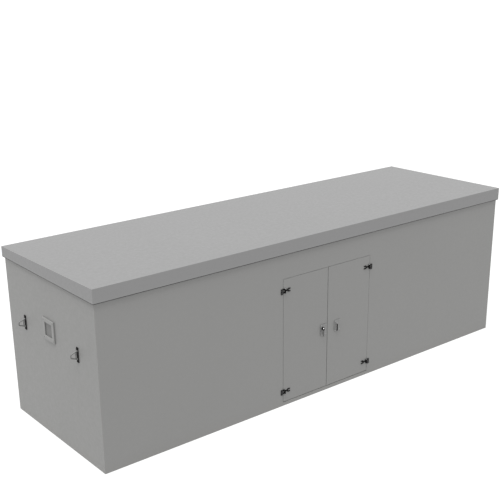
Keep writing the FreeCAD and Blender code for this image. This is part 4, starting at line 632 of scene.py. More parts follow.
def wall_sheet(name, start, end, holes, stands_for):
    """One folded wall skin with turned-in edges round its holes; a hole is (from, to, bottom, top, depth)."""
    start, end = Vector(start), Vector(end)
    plan, run, inward = wall_path(start, end)
    along = sorted({round((p - start).dot(run), 6) for p in plan} | {h[i] for h in holes for i in (0, 1)})
    levels = sorted({0.0, EAVE} | {h[i] for h in holes for i in (2, 3)})

    def place(distance, height):
        near = [p for p in plan if abs((p - start).dot(run) - distance) < CLOSE]
        spot = near[0] if near else start + run * distance
        return Vector((spot.x, spot.y, height))

    mesh = bmesh.new()
    grid = [[mesh.verts.new(place(s, z)) for z in levels] for s in along]
    for i in range(len(along) - 1):
        for j in range(len(levels) - 1):
            middle = ((along[i] + along[i + 1]) / 2, (levels[j] + levels[j + 1]) / 2)
            if not any(h[0] < middle[0] < h[1] and h[2] < middle[1] < h[3] for h in holes):
                mesh.faces.new((grid[i][j], grid[i + 1][j], grid[i + 1][j + 1], grid[i][j + 1]))
    bmesh.ops.delete(mesh, geom=[v for v in mesh.verts if not v.link_faces], context="VERTS")
    for hole in holes:
        turn_in(mesh, hole, start, run, inward)
    bmesh.ops.recalc_face_normals(mesh, faces=mesh.faces)
    face = max(mesh.faces, key=lambda f: f.calc_area())
    if face.normal.xy.dot(inward) > 0:
        bmesh.ops.reverse_faces(mesh, faces=mesh.faces)
    # The rounded folds take the lighter copy of the wall paint: painted highlight.
    round_edges(mesh, FOLD_RADIUS, 3, 1)
    obj = piece(name, mesh, "wall wall_edge", stands_for=(stands_for,))
    thick = obj.modifiers.new("thick", "SOLIDIFY")
    thick.thickness = SHEET
    thick.offset = -1.0
    thick.use_even_offset = True
    bake_modifiers(obj)
    weigh_normals(obj)
    return obj


def turn_in(mesh, hole, start, run, inward):
    """Extrudes the edges round a hole inwards by its depth."""
    rim = []
    for edge in [e for e in mesh.edges if e.is_boundary]:
        ends = [((v.co.xy - start).dot(run), v.co.z) for v in edge.verts]
        inside = all(hole[0] - CLOSE <= s <= hole[1] + CLOSE and hole[2] - CLOSE <= z <= hole[3] + CLOSE
                     for s, z in ends)
        if inside and max(z for s, z in ends) > 10 * CLOSE:
            rim.append(edge)
    made = bmesh.ops.extrude_edge_only(mesh, edges=rim)["geom"]
    corners = [g for g in made if isinstance(g, bmesh.types.BMVert)]
    bmesh.ops.translate(mesh, vec=inward.to_3d() * hole[4], verts=corners)


def drill_up(obj, place, radius):
    """A round hole straight up through a folded edge."""
    reach = 0.02
    mesh = bmesh.new()
    add_turned(mesh, [(-reach, 0.0), (-reach, radius), (reach, radius), (reach, 0.0)], place, UP, 24)
    bmesh.ops.recalc_face_normals(mesh, faces=mesh.faces)
    data = bpy.data.meshes.new("drill_bit")
    mesh.to_mesh(data)
    mesh.free()
    bit = add_object("drill_bit", data)
    hole = obj.modifiers.new("hole", "BOOLEAN")
    hole.operation = "DIFFERENCE"
    hole.solver = "EXACT"
    hole.object = bit
    bake_modifiers(obj)
    bpy.data.objects.remove(bit)
    weigh_normals(obj)


def make_walls():
    """Four plain skins that meet along the corner bends, with the openings cut in them."""
    rim, lip, pipe_gap, port_half, bolt_hole = 0.045, 0.03, 0.012, 0.1, 0.0095
    door_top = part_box("left_leaf")[1].z + 0.004
    sill_low, sill_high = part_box("door_threshold")
    doorway = (sill_low.x - LEFT, sill_high.x - LEFT, 0.0, door_top, WALL_DEEP - SHEET)
    front = wall_sheet("front_wall_skin", (LEFT, FRONT), (RIGHT, FRONT), [doorway], "front_wall")
    bolt = middle_of("upper_flush_bolt")
    drill_up(front, (bolt.x, bolt.y, door_top), bolt_hole)
    low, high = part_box("discharge_louvre")
    outlet = (low.y - FRONT + rim, high.y - FRONT - rim, low.z + rim, high.z - rim, lip)
    wall_sheet("right_end_skin", (RIGHT, FRONT), (RIGHT, REAR), [outlet], "right_end_wall")
    low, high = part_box("intake_louvres")
    holes = [(RIGHT - end, RIGHT - start, low.z + rim, high.z - rim, lip) for start, end in louvre_spans(rim)]
    pipe_x, pipe_z, pipe_radius = tail_pipe()
    gap = pipe_radius + pipe_gap
    holes.append((RIGHT - pipe_x - gap, RIGHT - pipe_x + gap, pipe_z - gap, pipe_z + gap, lip))
    wall_sheet("rear_wall_skin", (RIGHT, REAR), (LEFT, REAR), holes, "rear_wall")
    port = middle_of("cable_port_frame")
    port_lip = 0.02
    opening = (REAR - port.y - port_half, REAR - port.y + port_half, port.z - port_half, port.z + port_half,
               port_lip)
    wall_sheet("left_end_skin", (LEFT, REAR), (LEFT, FRONT), [opening], "left_end_wall")


def middle_of(node):
    low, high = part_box(node)
    return (low + high) / 2


def louvre_spans(rim):
    """The clear X limits of the two intake louvres."""
    xs = sorted({round(v.co.x, 4) for v in NODES["intake_louvres"].data.vertices})
    middle = (xs[0] + xs[-1]) / 2
    sides = [x for x in xs if x < middle], [x for x in xs if x > middle]
    return [(side[0] + rim, side[-1] - rim) for side in sides]


def tail_pipe():
    """Centre X and Z, and the radius, of the pipe where it passes the rear wall."""
    ends = [v.co for v in NODES["exhaust_pipe"].data.vertices if v.co.y > REAR]
    xs, zs = [p.x for p in ends], [p.z for p in ends]
    return (min(xs) + max(xs)) / 2, (min(zs) + max(zs)) / 2, (max(xs) - min(xs)) / 2


# ---------------------------------------------------------------- outside fittings


DRESSED = (
    ("roof_cover", "roof roof_edge", 0.004, 3),
    ("left_leaf", "door wall_edge", 0.0016, 2, "left_door"),
    ("right_leaf", "door wall_edge", 0.0016, 2, "right_door"),
    ("left_hinge_straps", "black black_edge", 0.0014, 2, "left_door"),
    ("right_hinge_straps", "black black_edge", 0.0014, 2, "right_door"),
    ("door_threshold", "wall wall_edge", 0.002),
    ("lock_plate", "plate plate_edge", 0.0016, 2, "left_door"),
    ("pull_plate", "plate plate_edge", 0.0016, 2, "right_door"),
    ("lock_lever", "black black_edge", 0.0012, 2, "lever"),
    ("key_cylinder", "bright bolt", 0.0006, 2, "key"),
    ("latch_rod_guides", "plate bright", 0.001, 2, "left_door"),
    ("door_frame", "ceiling", 0.003, 2, "enclosure", "galvanised"),
    ("door_seal", "rubber", 0.003, 3),
    ("cable_port_frame", "fitting wall_edge", 0.003, 3),
    # The gland plate is painted darker than the wall: painted shade of its hollow.
    ("gland_plate", "recess wall_edge", 0.0008),
    ("loop_bracket_plates", "black black_edge", 0.0018, 3),
    ("intake_louvres", "wall wall_edge", 0.0008),
    ("discharge_louvre", "wall wall_edge", 0.0008),
    ("genset_rails", "dark black_edge", 0.003),
    ("engine_block", "engine", 0.008, 3),
    ("cylinder_heads", "engine", 0.007, 3),
    ("exhaust_manifold", "exhaust", 0.004),
    ("air_cleaner", "dark black_edge", 0.006, 3),
    ("silencer", "exhaust", 0.003),
    ("crankshaft", "dark", 0.003, 2, "rotating_set"),
    ("cooling_fan", "plastic", 0.002, 2, "fan"),
    ("alternator_housing", "engine", 0.006, 3),
    ("fan_shroud", "dark black_edge", 0.0012),
    ("starter_batteries", "plastic", 0.006, 3, "enclosure", "battery_case"),
    ("day_tank", "tank", 0.02, 4),
    ("control_cabinet", "cabinet", 0.0018),
    ("control_door", "cabinet", 0.0018, 2, "panel_door"),
    ("estop_button", "red", 0.0035, 3, "stop_button"),
)


def finish_nodes():
    """Rounds and paints the CAD shapes, and gives those that stay in view as they are their finish."""
    for row in DRESSED:
        dressed(*row)
    # Broad faces turned to the front take the lighter black, a painted highlight of the lit face; rounded
    # edges take the edge copy.
    dressed("hinge_frame_plates", "black black_edge hinge_leaf", 0.0014,
            zone=lambda face: 2 if face.normal.y < -0.9 and face.calc_area() > 0.001 else 0)
    bar_low, bar_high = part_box("pull_bar")
    bar_wide = bar_high.x - bar_low.x
    # The straight middle of the bar is black between satin bends: painted shade standing for the bar's dark
    # face.
    shaded_span = (bar_low.z + bar_wide, bar_high.z - bar_wide)
    dressed("pull_bar", "plate plate black", 0.0003, 1, "right_door", "black_hardware",
            zone=lambda face: 2 if shaded_span[0] < face.calc_center_median().z < shaded_span[1] else 0, levels=shaded_span)
    for material, nodes in FINISHES.items():
        for node in nodes.split():
            data = NODES[node].data
            data.materials.clear()
            data.materials.append(MATERIALS[material])


def make_eave_shadow_strip():
    """A dark rubber strip under the hem of the roof cover: painted shadow standing for the shade line under
    the eave.
    """
    inset, deep, tall, into = 0.0015, 0.010, 0.008, 0.002
    lip = [(0.0, into), (0.0, -tall * 0.7), (0.18, -tall), (0.5, -tall), (1.0, -tall * 0.5), (1.0, into)]
    low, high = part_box("roof_cover")
    middle = (low + high) / 2
    mesh = bmesh.new()
    rows = []
    for x, y in ((low.x + inset, low.y + inset), (high.x - inset, low.y + inset),
                 (high.x - inset, high.y - inset), (low.x + inset, high.y - inset)):
        in_x, in_y = math.copysign(deep, middle.x - x), math.copysign(deep, middle.y - y)
        rows.append([mesh.verts.new((x + in_x * part, y + in_y * part, low.z + rise)) for part, rise in lip])
    for i in range(len(rows)):
        join_rings(mesh, rows[i - 1], rows[i])
    piece("eave_shadow_strip", mesh, "rubber")


def make_doors():
    """Inner sheets, plate fasteners and gaskets on the leaves, and the fittings of the lock and the pull."""
    screw_inset = 0.016
    for side, plate in (("left", "lock_plate"), ("right", "pull_plate")):
        body = f"{side}_door"
        make_inner_sheet(side, body)
        low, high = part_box(plate)
        screws = bmesh.new()
        for x in (low.x + screw_inset, high.x - screw_inset):
            for z in (low.z + screw_inset, high.z - screw_inset):
                add_dome(screws, (x, low.y, z), TO_FRONT, 0.0052, 0.0026)
        piece(f"{plate}_screws", screws, "bolt", body)
        make_gasket(plate, body)
    make_hinge_fasteners()
    make_lock_trim()
    make_pull_collars()


def make_inner_sheet(side, body):
    """Perforated inner face of a leaf, with two top-hat stiffeners that stop short of the bolts and rods."""
    margin, lip, half_sheet, from_end = 0.05, 0.0015, 0.0004, 0.35
    lock_side = {"left": -0.21, "right": 0.12}[side]
    low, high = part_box(f"{side}_leaf")
    start, end = sorted((lock_side, low.x + margin if side == "left" else high.x - margin))
    mesh = bmesh.new()
    add_box(mesh, (low.x + lip, high.y - half_sheet, low.z + lip),
            (high.x - lip, high.y + half_sheet, high.z - lip))
    for height in (low.z + from_end, high.z - from_end):
        for half, deep in ((0.03, 0.012), (0.05, 0.0015)):
            add_box(mesh, (start, high.y, height - half), (end, high.y + deep, height + half), 1)
    round_edges(mesh, 0.0002, 1, -1)
    weigh_normals(piece(f"{side}_leaf_inner_sheet", mesh, "liner zinc", body))


def joint_place(name):
    return Vector(next(j for j in frame["joints"] if j["name"] == name)["pos_m"])


def make_hinge_fasteners():
    """Domed bolt heads on every fixed plate and swinging strap."""
    axis_x = joint_place("right_door_swing").x
    zs = sorted({round(v.co.z, 3) for v in NODES["right_hinge_straps"].data.vertices})
    levels = ((zs[0] + max(z for z in zs if z < 1.0)) / 2, (min(z for z in zs if z > 1.0) + zs[-1]) / 2)
    plate_out, plate_pitch, drop = 0.062, 0.028, 0.011
    plate_face, strap_face = FRONT - 0.008, FRONT - 0.010
    fixed = bmesh.new()
    for side, name in ((-1, "left"), (1, "right")):
        moving = bmesh.new()
        for level in levels:
            for up in (-plate_pitch, 0.0, plate_pitch):
                place = (side * (axis_x + plate_out), plate_face, level + up - drop)
                add_dome(fixed, place, TO_FRONT, 0.0092, 0.0052)
            for along, up in ((0.096, 0.0205), (0.096, -0.0205), (0.060, 0.0)):
                add_dome(moving, (side * (axis_x - along), strap_face, level + up), TO_FRONT, 0.0048, 0.0034)
        piece(f"{name}_strap_bolts", moving, "black", f"{name}_door")
    piece("hinge_plate_bolts", fixed, "black")


def make_lock_trim():
    """Rose round the key, and the lever's cap and a pale satin face on the front of the black grip: painted
    highlight of its lit front.
    """
    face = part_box("lock_plate")[0].y
    lever, key = joint_place("lock_lever_turn"), joint_place("key_turn")
    rose, cap, lit_face = bmesh.new(), bmesh.new(), bmesh.new()
    add_turned(rose, [(0.0, 0.0185), (0.0014, 0.0182), (0.0026, 0.0150), (0.0026, 0.0110), (0.0, 0.0104)],
               (key.x, face, key.z), TO_FRONT, 36)
    piece("lock_roses", rose, "plate", "left_door")
    grip_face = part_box("lock_lever")[0].y
    add_turned(cap, [(0.0, 0.0105), (0.0092, 0.0105), (0.0102, 0.0099), (0.0110, 0.0076), (0.0114, 0.0)],
               (lever.x - 0.006, grip_face + 0.009, lever.z + 0.010), TO_FRONT, 28)
    # Pale satin face on the grip's front: painted highlight of the lit front against the black sides.
    outline = ((-0.009, 0.024), (-0.0055, 0.116), (0.0055, 0.116), (0.009, 0.024))
    add_prism(lit_face, [(lever.x + across, lever.z - down) for across, down in outline],
              grip_face + 0.0002, grip_face - 0.0006)
    round_edges(lit_face, 0.0003, 1)
    piece("lever_front_highlight", lit_face, "plate", "lever")
    piece("lever_cap", cap, "bright", "lever")


def make_pull_collars():
    low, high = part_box("pull_bar")
    radius = (high.x - low.x) / 2
    collar = [(0.0, radius + 0.0045), (0.0018, radius + 0.0042), (0.0034, radius + 0.0018),
              (0.0034, radius + 0.0001)]
    mesh = bmesh.new()
    for z in (low.z + radius, high.z - radius):
        add_turned(mesh, collar, ((low.x + high.x) / 2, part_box("pull_plate")[0].y, z), TO_FRONT, 32)
    piece("pull_bar_collars", mesh, "plate", "right_door")


def octagon(low, high, grow, clip):
    """Outline in X and Z of a plate with clipped corners, grown on every side."""
    left, right, foot, head = low.x - grow, high.x + grow, low.z - grow, high.z + grow
    return [(left, foot + clip), (left + clip, foot), (right - clip, foot), (right, foot + clip),
            (right, head - clip), (right - clip, head), (left + clip, head), (left, head - clip)]


def make_gasket(plate, body):
    """A thin bead of sealant showing round a door plate."""
    proud, clip, deep = 0.0022, 0.009, 0.003
    low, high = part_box(plate)
    mesh = bmesh.new()
    rings = [[mesh.verts.new((x, y, z)) for x, z in octagon(low, high, grow, clip)]
             for grow, y in ((proud, high.y), (proud, high.y - deep), (-proud, high.y - deep))]
    for first, second in zip(rings, rings[1:]):
        join_rings(mesh, first, second)
    piece(f"{plate}_gasket", mesh, "sealant", body)


def make_end_fittings():
    """Bolt heads of the end wall, the weld beads of the two loops and the port's gasket."""
    port_low, port_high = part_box("cable_port_frame")
    heads = bmesh.new()
    for island in islands("end_wall_bolts"):
        centre = sum(island, Vector()) / len(island)
        on_loop = not port_low.y < centre.y < port_high.y
        add_hex(heads, (max(p.x for p in island), centre.y, centre.z), TO_LEFT, 0.0082, 0.0063, int(on_loop))
    piece("end_wall_hex_bolts", heads, "fitting black", stands_for=("end_wall_bolts",))
    bar_radius = 0.0085
    plate_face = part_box("loop_bracket_plates")[0].x
    bar_low, bar_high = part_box("loop_bracket_bars")
    welds = bmesh.new()
    for y in (bar_low.y + bar_radius, bar_high.y - bar_radius):
        for z in (bar_low.z + bar_radius, bar_high.z - bar_radius):
            add_weld(welds, Vector((plate_face, y, z)), Vector(TO_LEFT), bar_radius + 0.0002)
    piece("loop_weld_beads", welds, "bar")
    proud, wide, deep = 0.002, 0.004, 0.003
    left, right, foot, head = port_low.y - proud, port_high.y + proud, port_low.z - proud, port_high.z + proud
    gasket = bmesh.new()
    for y0, y1, z0, z1 in ((left, left + wide, foot, head), (right - wide, right, foot, head),
                           (left + wide, right - wide, foot, foot + wide),
                           (left + wide, right - wide, head - wide, head)):
        add_box(gasket, (port_high.x - deep, y0, z0), (port_high.x, y1, z1))
    piece("port_gasket", gasket, "sealant")


def islands(node):
    """Vertex positions of each loose solid of a CAD node."""
    mesh = node_mesh(node)
    left = set(mesh.verts)
    found = []
    while left:
        stack = [left.pop()]
        group = []
        while stack:
            vert = stack.pop()
            group.append(vert.co.copy())
            for edge in vert.link_edges:
                other = edge.other_vert(vert)
                if other in left:
                    left.remove(other)
                    stack.append(other)
        found.append(group)
    mesh.free()
    return found


def add_weld(mesh, place, axis, radius):
    """A rippled fillet bead round the foot of a bar."""
    mean_size = 0.0042
    side = axis.orthogonal().normalized()
    other = axis.cross(side)
    rows = []
    for turn in turns_of(40):
        out = side * math.cos(turn) + other * math.sin(turn)
        size = mean_size * (1 + 0.13 * math.sin(turn * 13) + 0.06 * random.random())
        rows.append([mesh.verts.new(place + out * (radius + size)),
                     mesh.verts.new(place + out * (radius + size * 0.55) + axis * size * 0.55),
                     mesh.verts.new(place + out * radius + axis * size)])
    for i, second in enumerate(rows):
        first = rows[i - 1]
        for k in range(2):
            mesh.faces.new((first[k], second[k], second[k + 1], first[k + 1]))


def make_rear_and_side():
    """Louvre screws and mesh screens, and the collar of the tail pipe."""
    inset, screen_inset, screen_gap = 0.022, 0.045, 0.004
    intake_low, intake_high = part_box("intake_louvres")
    side_low, side_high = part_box("discharge_louvre")
    screws, screens = bmesh.new(), bmesh.new()
    for start, end in louvre_spans(screen_inset):
        add_screws(screws, (start - inset, end + inset), (intake_low.z + inset, intake_high.z - inset), 7,
                   lambda x, z: (x, intake_high.y, z), TO_REAR)
        add_grille(screens, (start, end), (intake_low.z + screen_inset, intake_high.z - screen_inset),
                   lambda x, z, back: (x, intake_low.y - screen_gap - back, z))
    add_screws(screws, (side_low.y + inset, side_high.y - inset), (side_low.z + inset, side_high.z - inset),
               9, lambda y, z: (side_high.x, y, z), ALONG)
    add_grille(screens, (side_low.y + screen_inset, side_high.y - screen_inset),
               (side_low.z + screen_inset, side_high.z - screen_inset),
               lambda y, z, back: (side_low.x - screen_gap - back, y, z))
    piece("louvre_screws", screws, "bolt")
    piece("bird_screens", screens, "zinc")
    pipe_x, pipe_z, pipe_r = tail_pipe()
    bolt_ring = 0.138
    collar = bmesh.new()
    profile = [(0.0, pipe_r + 0.0005), (0.0, 0.158), (0.003, 0.158), (0.004, 0.112), (0.028, 0.086),
               (0.030, pipe_r + 0.004), (0.030, pipe_r + 0.0005)]
    add_turned(collar, profile, (pipe_x, REAR, pipe_z), TO_REAR, 56)
    for turn in turns_of(8):
        place = (pipe_x + bolt_ring * math.cos(turn), REAR + 0.003, pipe_z + bolt_ring * math.sin(turn))
        add_hex(collar, place, TO_REAR, 0.0075, 0.006, 1)
    piece("tail_pipe_collar", collar, "wall bolt")


def add_screws(mesh, across, up, count, place, axis):
    """Screw heads round a louvre's flange: a row of count along the head and foot, nine up each side."""
    for a in spread(*across, count):
        for z in up:
            add_dome(mesh, place(a, z), axis, 0.0065, 0.0038)
    for z in spread(*up, 9)[1:-1]:
        for a in across:
            add_dome(mesh, place(a, z), axis, 0.0065, 0.0038)


def add_grille(mesh, across, up, place, pitch=0.0254, wire=0.0011):
    """Two layers of straight square wires; place takes a distance across, a height and a depth."""
    for a in spread(*across, int((across[1] - across[0]) / pitch)):
        add_box(mesh, place(a - wire, up[0], wire), place(a + wire, up[1], 0.0))
    for z in spread(*up, int((up[1] - up[0]) / pitch)):
        add_box(mesh, place(across[0], z - wire, 0.0), place(across[1], z + wire, -wire))


# ---------------------------------------------------------------- inside


def make_lights():
    """Three fluorescent battens under the ceiling, and the conduits to them and to the alternator."""
    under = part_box("ceiling_panel")[0].z
    light_y, half_long, half_wide, deep = -0.93, 0.62, 0.055, 0.03
    cap_long, cap_half, cap_deep = 0.02, 0.058, 0.062
    tube_long, tube_radius = 1.2, 0.044
    lamps, battens, conduit = bmesh.new(), bmesh.new(), bmesh.new()
    for x in (-2.9, -0.6, 1.4):
        add_box(battens, (x - half_long, light_y - half_wide, under - deep),
                (x + half_long, light_y + half_wide, under))
        for end in (-half_long, half_long - cap_long):
            add_box(battens, (x + end, light_y - cap_half, under - cap_deep),
                    (x + end + cap_long, light_y + cap_half, under))
        add_turned(lamps, rod(tube_radius, tube_long), (x - tube_long / 2, light_y, under - deep), ALONG, 28)
    round_edges(battens, 0.002)
    piece("light_battens", battens, "ceiling")
    piece("light_diffusers", lamps, "lamp")
    feed_y, drop_x, cabinet_y, cabinet_top = -0.80, -0.45, -0.52, 1.70
    over, below, pipe, bend = under - 0.014, under - 0.20, 0.0125, 0.06
    add_tube(conduit, [(-3.9, feed_y, over), (drop_x, feed_y, over), (drop_x, feed_y, below),
                       (drop_x, cabinet_y, below), (drop_x, cabinet_y, cabinet_top)], pipe, bend)
    rise_x, box_x, box_y, top = -0.37, 0.2, 0.1, 2.02
    add_tube(conduit, [(rise_x, cabinet_y, cabinet_top), (rise_x, cabinet_y, top), (rise_x, box_y, top),
                       (box_x, box_y, top), (box_x, box_y, 1.22)], pipe, bend)
    for x in spread(-3.7, -0.7, 7):
        add_box(conduit, (x - 0.01, feed_y - 0.026, under - 0.030), (x + 0.01, feed_y + 0.026, under))
    piece("conduit_runs", conduit, "zinc")


def make_mount_bolts():
    """Bolts through the isolators and through the feet of the engine and the alternator."""
    inset, side_step = 0.07, 0.085
    bolts = bmesh.new()
    low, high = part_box("vibration_isolators")
    for y in (low.y + inset, high.y - inset):
        for x in spread(low.x + inset, high.x - inset, 4):
            for side in (-side_step, side_step):
                add_hex(bolts, (x + side, y, low.z), UP, 0.012, 0.012)
    rail_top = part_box("genset_rails")[1].z
    engine_feet = ((1.5, 1.6, 2.4, 2.5), 0.415, 0.17)
    alternator_feet = ((0.05, 0.15, 0.75, 0.85), 0.41, 0.11)
    for xs, foot_y, foot_high in (engine_feet, alternator_feet):
        for x in xs:
            for y in (-foot_y, foot_y):
                add_hex(bolts, (x, y, rail_top + foot_high), UP, 0.014, 0.012)
    piece("mount_bolts", bolts, "bolt")


def make_head_bolts():
    """Bolts of the six cylinder heads, and the fuel rail with its pipes."""
    cylinders = 6
    low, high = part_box("cylinder_heads")
    start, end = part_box("engine_block")[0].x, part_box("engine_block")[1].x
    pitch = (end - start) / cylinders
    rail_y, rail_z, rail_inset, injector_y, rise = -0.262, low.z + 0.055, 0.1, -0.12, 0.075
    bolts, lines = bmesh.new(), bmesh.new()
    add_tube(lines, [(start + rail_inset, rail_y, rail_z), (end - rail_inset, rail_y, rail_z)], 0.014)
    for i in range(cylinders):
        x = start + pitch * (i + 0.5)
        for side in (-0.088, 0.088):
            for y in (-0.175, 0.172):
                add_hex(bolts, (x + side, y, low.z + 0.09), UP, 0.010, 0.012)
        for y in (-0.09, 0.06):
            add_hex(bolts, (x, y, high.z), UP, 0.008, 0.010)
        add_tube(lines, [(x, rail_y, rail_z), (x, rail_y, rail_z + rise), (x, injector_y, rail_z + rise),
                         (x, injector_y, low.z + 0.088)], 0.0045, 0.02, 8)
    piece("head_bolts", bolts, "bolt")
    piece("fuel_rail_lines", lines, "copper")


def make_engine_sides():
    """Filters, starter motor, cover plates and core plugs on the near side, and the crankcase bolts."""
    start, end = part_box("engine_block")[0].x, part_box("engine_block")[1].x
    face, unit_y, filter_top, plate_half = -0.33, -0.385, 0.80, 0.035
    extras = bmesh.new()
    can = [(0.0, 0.0), (0.0, 0.05), (0.02, 0.056), (0.19, 0.056), (0.205, 0.05), (0.21, 0.0)]
    for x in (1.62, 1.80):
        add_turned(extras, can, (x, unit_y, filter_top), DOWN, 32)
        add_box(extras, (x - 0.06, face - 0.11, filter_top), (x + 0.06, face + 0.08, filter_top + 0.05))
    motor = [(0.0, 0.0), (0.0, 0.055), (0.03, 0.07), (0.24, 0.07), (0.26, 0.05), (0.30, 0.045), (0.30, 0.0)]
    add_turned(extras, motor, (1.98, unit_y, 0.62), TO_LEFT, 32)
    add_turned(extras, rod(0.032, 0.13), (1.95, face - 0.06, 0.735), TO_LEFT, 24)
    for z in (0.93, 1.04):
        for x in spread(start + 0.1, end - 0.1, 9):
            add_box(extras, (x - 0.008, -0.262, z - plate_half), (x + 0.008, -0.245, z + plate_half))
    plug = [(0.0, 0.0), (0.0, 0.04), (0.008, 0.04), (0.012, 0.03), (0.012, 0.0)]
    for x in spread(start + 0.12, end - 0.12, 6):
        add_turned(extras, plug, (x, -0.2495, 1.09), TO_FRONT, 24)
    round_edges(extras, 0.003)
    piece("engine_side_units", extras, "dark")
    pan = bmesh.new()
    for x in spread(start + 0.06, end - 0.06, 14):
        for side in (-1, 1):
            add_hex(pan, (x, side * 0.332, 0.60), (0, side, 0), 0.009, 0.009)
    piece("crankcase_bolts", pan, "bolt")


def make_intake_duct():
    """Rubber duct from the air cleaner round to the turbocharger, with a clip at each end."""
    cleaner = middle_of("air_cleaner")
    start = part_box("air_cleaner")[0].x
    near_y, far_y, end_z = -0.06, 0.30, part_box("cylinder_heads")[1].z + 0.06
    duct = bmesh.new()
    add_tube(duct, [(start + 0.03, near_y, cleaner.z), (start - 0.13, near_y, cleaner.z),
                    (start - 0.13, far_y, end_z), (1.80, far_y, end_z)], 0.055, 0.12, 20)
    clip = [(-0.008, 0.0555), (-0.008, 0.059), (0.008, 0.059), (0.008, 0.0555)]
    for place in ((start - 0.02, near_y, cleaner.z), (1.70, far_y, end_z)):
        add_turned(duct, clip, place, ALONG, 32, 1)
    piece("intake_duct", duct, "rubber bolt")


def make_alternator():
    """Frame ribs, flange bolts, and the terminal box's screws and glands."""
    low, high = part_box("alternator_housing")
    axis_z = middle_of("crankshaft").z
    rib_start, rib_long, root, rib_high, rib_half = 0.06, 0.82, 0.326, 0.024, 0.006
    ribs, fixings, glands = bmesh.new(), bmesh.new(), bmesh.new()
    for turn in turns_of(36):
        if -0.62 <= math.sin(turn) <= 0.75:
            out = Vector((0, math.cos(turn), math.sin(turn)))
            start = Vector((rib_start, 0, axis_z)) + out * root
            across = out.cross(Vector(ALONG)) * rib_half
            tip = start + out * rib_high
            corners = (start + across, start - across, tip - across * 0.6, tip + across * 0.6)
            near = [ribs.verts.new(corner) for corner in corners]
            far = [ribs.verts.new(v.co + Vector((rib_long, 0, 0))) for v in near]
            ribs.faces.new(near)
            ribs.faces.new(list(reversed(far)))
            join_rings(ribs, near, far)
    round_edges(ribs, 0.0015, 1)
    piece("alternator_ribs", ribs, "engine")
    flange_x, flange_radius, screw_y = 1.045, 0.37, 0.215
    for turn in turns_of(12, 0.5):
        place = (flange_x, flange_radius * math.cos(turn), axis_z + flange_radius * math.sin(turn))
        add_hex(fixings, place, TO_LEFT, 0.011, 0.011)
    for x in spread(low.x + 0.275, low.x + 0.845, 4):
        for y in (-screw_y, screw_y):
            add_dome(fixings, (x, y, high.z), UP, 0.007, 0.004)
    piece("alternator_fixings", fixings, "bolt")
    gland = [(0.0, 0.0), (0.0, 0.03), (0.025, 0.03), (0.032, 0.024), (0.045, 0.024), (0.045, 0.0)]
    for x in spread(0.25, 0.60, 5):
        add_turned(glands, gland, (x, -0.23, high.z - 0.09), TO_FRONT, 6)
    piece("terminal_glands", glands, "plastic")


def make_cooling():
    """Radiator's header tanks and side channels, its cap, and the wire guard of the fan."""
    low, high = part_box("radiator")
    out, top_deep, foot_deep, side_wide = 0.004, 0.132, 0.137, 0.035
    left, right, near, far = low.x - out, high.x + out, low.y - out, high.y + out
    tanks = bmesh.new()
    add_box(tanks, (left, near, high.z - top_deep), (right, far, high.z + 0.003))
    add_box(tanks, (left, near, low.z), (right, far, low.z + foot_deep))
    for y in (near, far - side_wide):
        add_box(tanks, (left, y, low.z + foot_deep), (right, y + side_wide, high.z - top_deep))
    round_edges(tanks, 0.006, 3)
    cap = [(0.0, 0.0), (0.0, 0.034), (0.03, 0.034), (0.03, 0.045), (0.045, 0.045), (0.05, 0.038), (0.05, 0.0)]
    add_turned(tanks, cap, (middle_of("radiator").x, -0.3, high.z + 0.002), UP, 24)
    piece("radiator_tanks", tanks, "dark")
    stand_off, inner, outer = 0.165, 0.125, 0.515
    centre = Vector((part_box("fan_shroud")[0].x - stand_off, 0, middle_of("cooling_fan").z))
    guard = bmesh.new()
    for radius in spread(0.13, 0.50, 12):
        add_ring(guard, centre, radius, 0.0022)
    for turn in turns_of(8, 0.5):
        out = Vector((0, math.cos(turn), math.sin(turn)))
        rim = centre + out * outer
        add_tube(guard, [centre + out * inner, rim, rim + Vector((stand_off, 0, 0))], 0.004, 0.02, 8)
    piece("fan_guard", guard, "yellow")


def make_batteries():
    """Lids with vent caps, and the terminal posts with their clamps and the link."""
    cells, gap, proud, lid_deep, post_in = 6, 0.04, 0.004, 0.03, 0.05
    low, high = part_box("starter_batteries")
    top, half = high.z + proud, (high.x - low.x - gap) / 2
    vent_cap = [(0.0, 0.0), (0.0, 0.017), (0.010, 0.016), (0.013, 0.012), (0.013, 0.0)]
    post = [(0.0, 0.0), (0.0, 0.010), (0.022, 0.009), (0.022, 0.0)]
    lids, posts = bmesh.new(), bmesh.new()
    for start in (low.x, high.x - half):
        add_box(lids, (start - proud, low.y - proud, high.z - lid_deep),
                (start + half + proud, high.y + proud, top))
        for i in range(cells):
            place = (start + half * (i + 0.5) / cells, (low.y + high.y) / 2, top)
            add_turned(lids, vent_cap, place, UP, 20)
        for x in (start + post_in, start + half - post_in):
            add_turned(posts, post, (x, low.y + 0.045, top), UP, 20)
            add_box(posts, (x - 0.02, low.y + 0.03, high.z + 0.008), (x + 0.02, low.y + 0.06, high.z + 0.018))
    add_box(posts, (low.x + half - post_in, low.y + 0.035, high.z + 0.012),
            (high.x - half + post_in, low.y + 0.055, high.z + 0.016))
    round_edges(lids, 0.0025)
    piece("battery_lids", lids, "plastic")
    piece("battery_terminals", posts, "bolt")


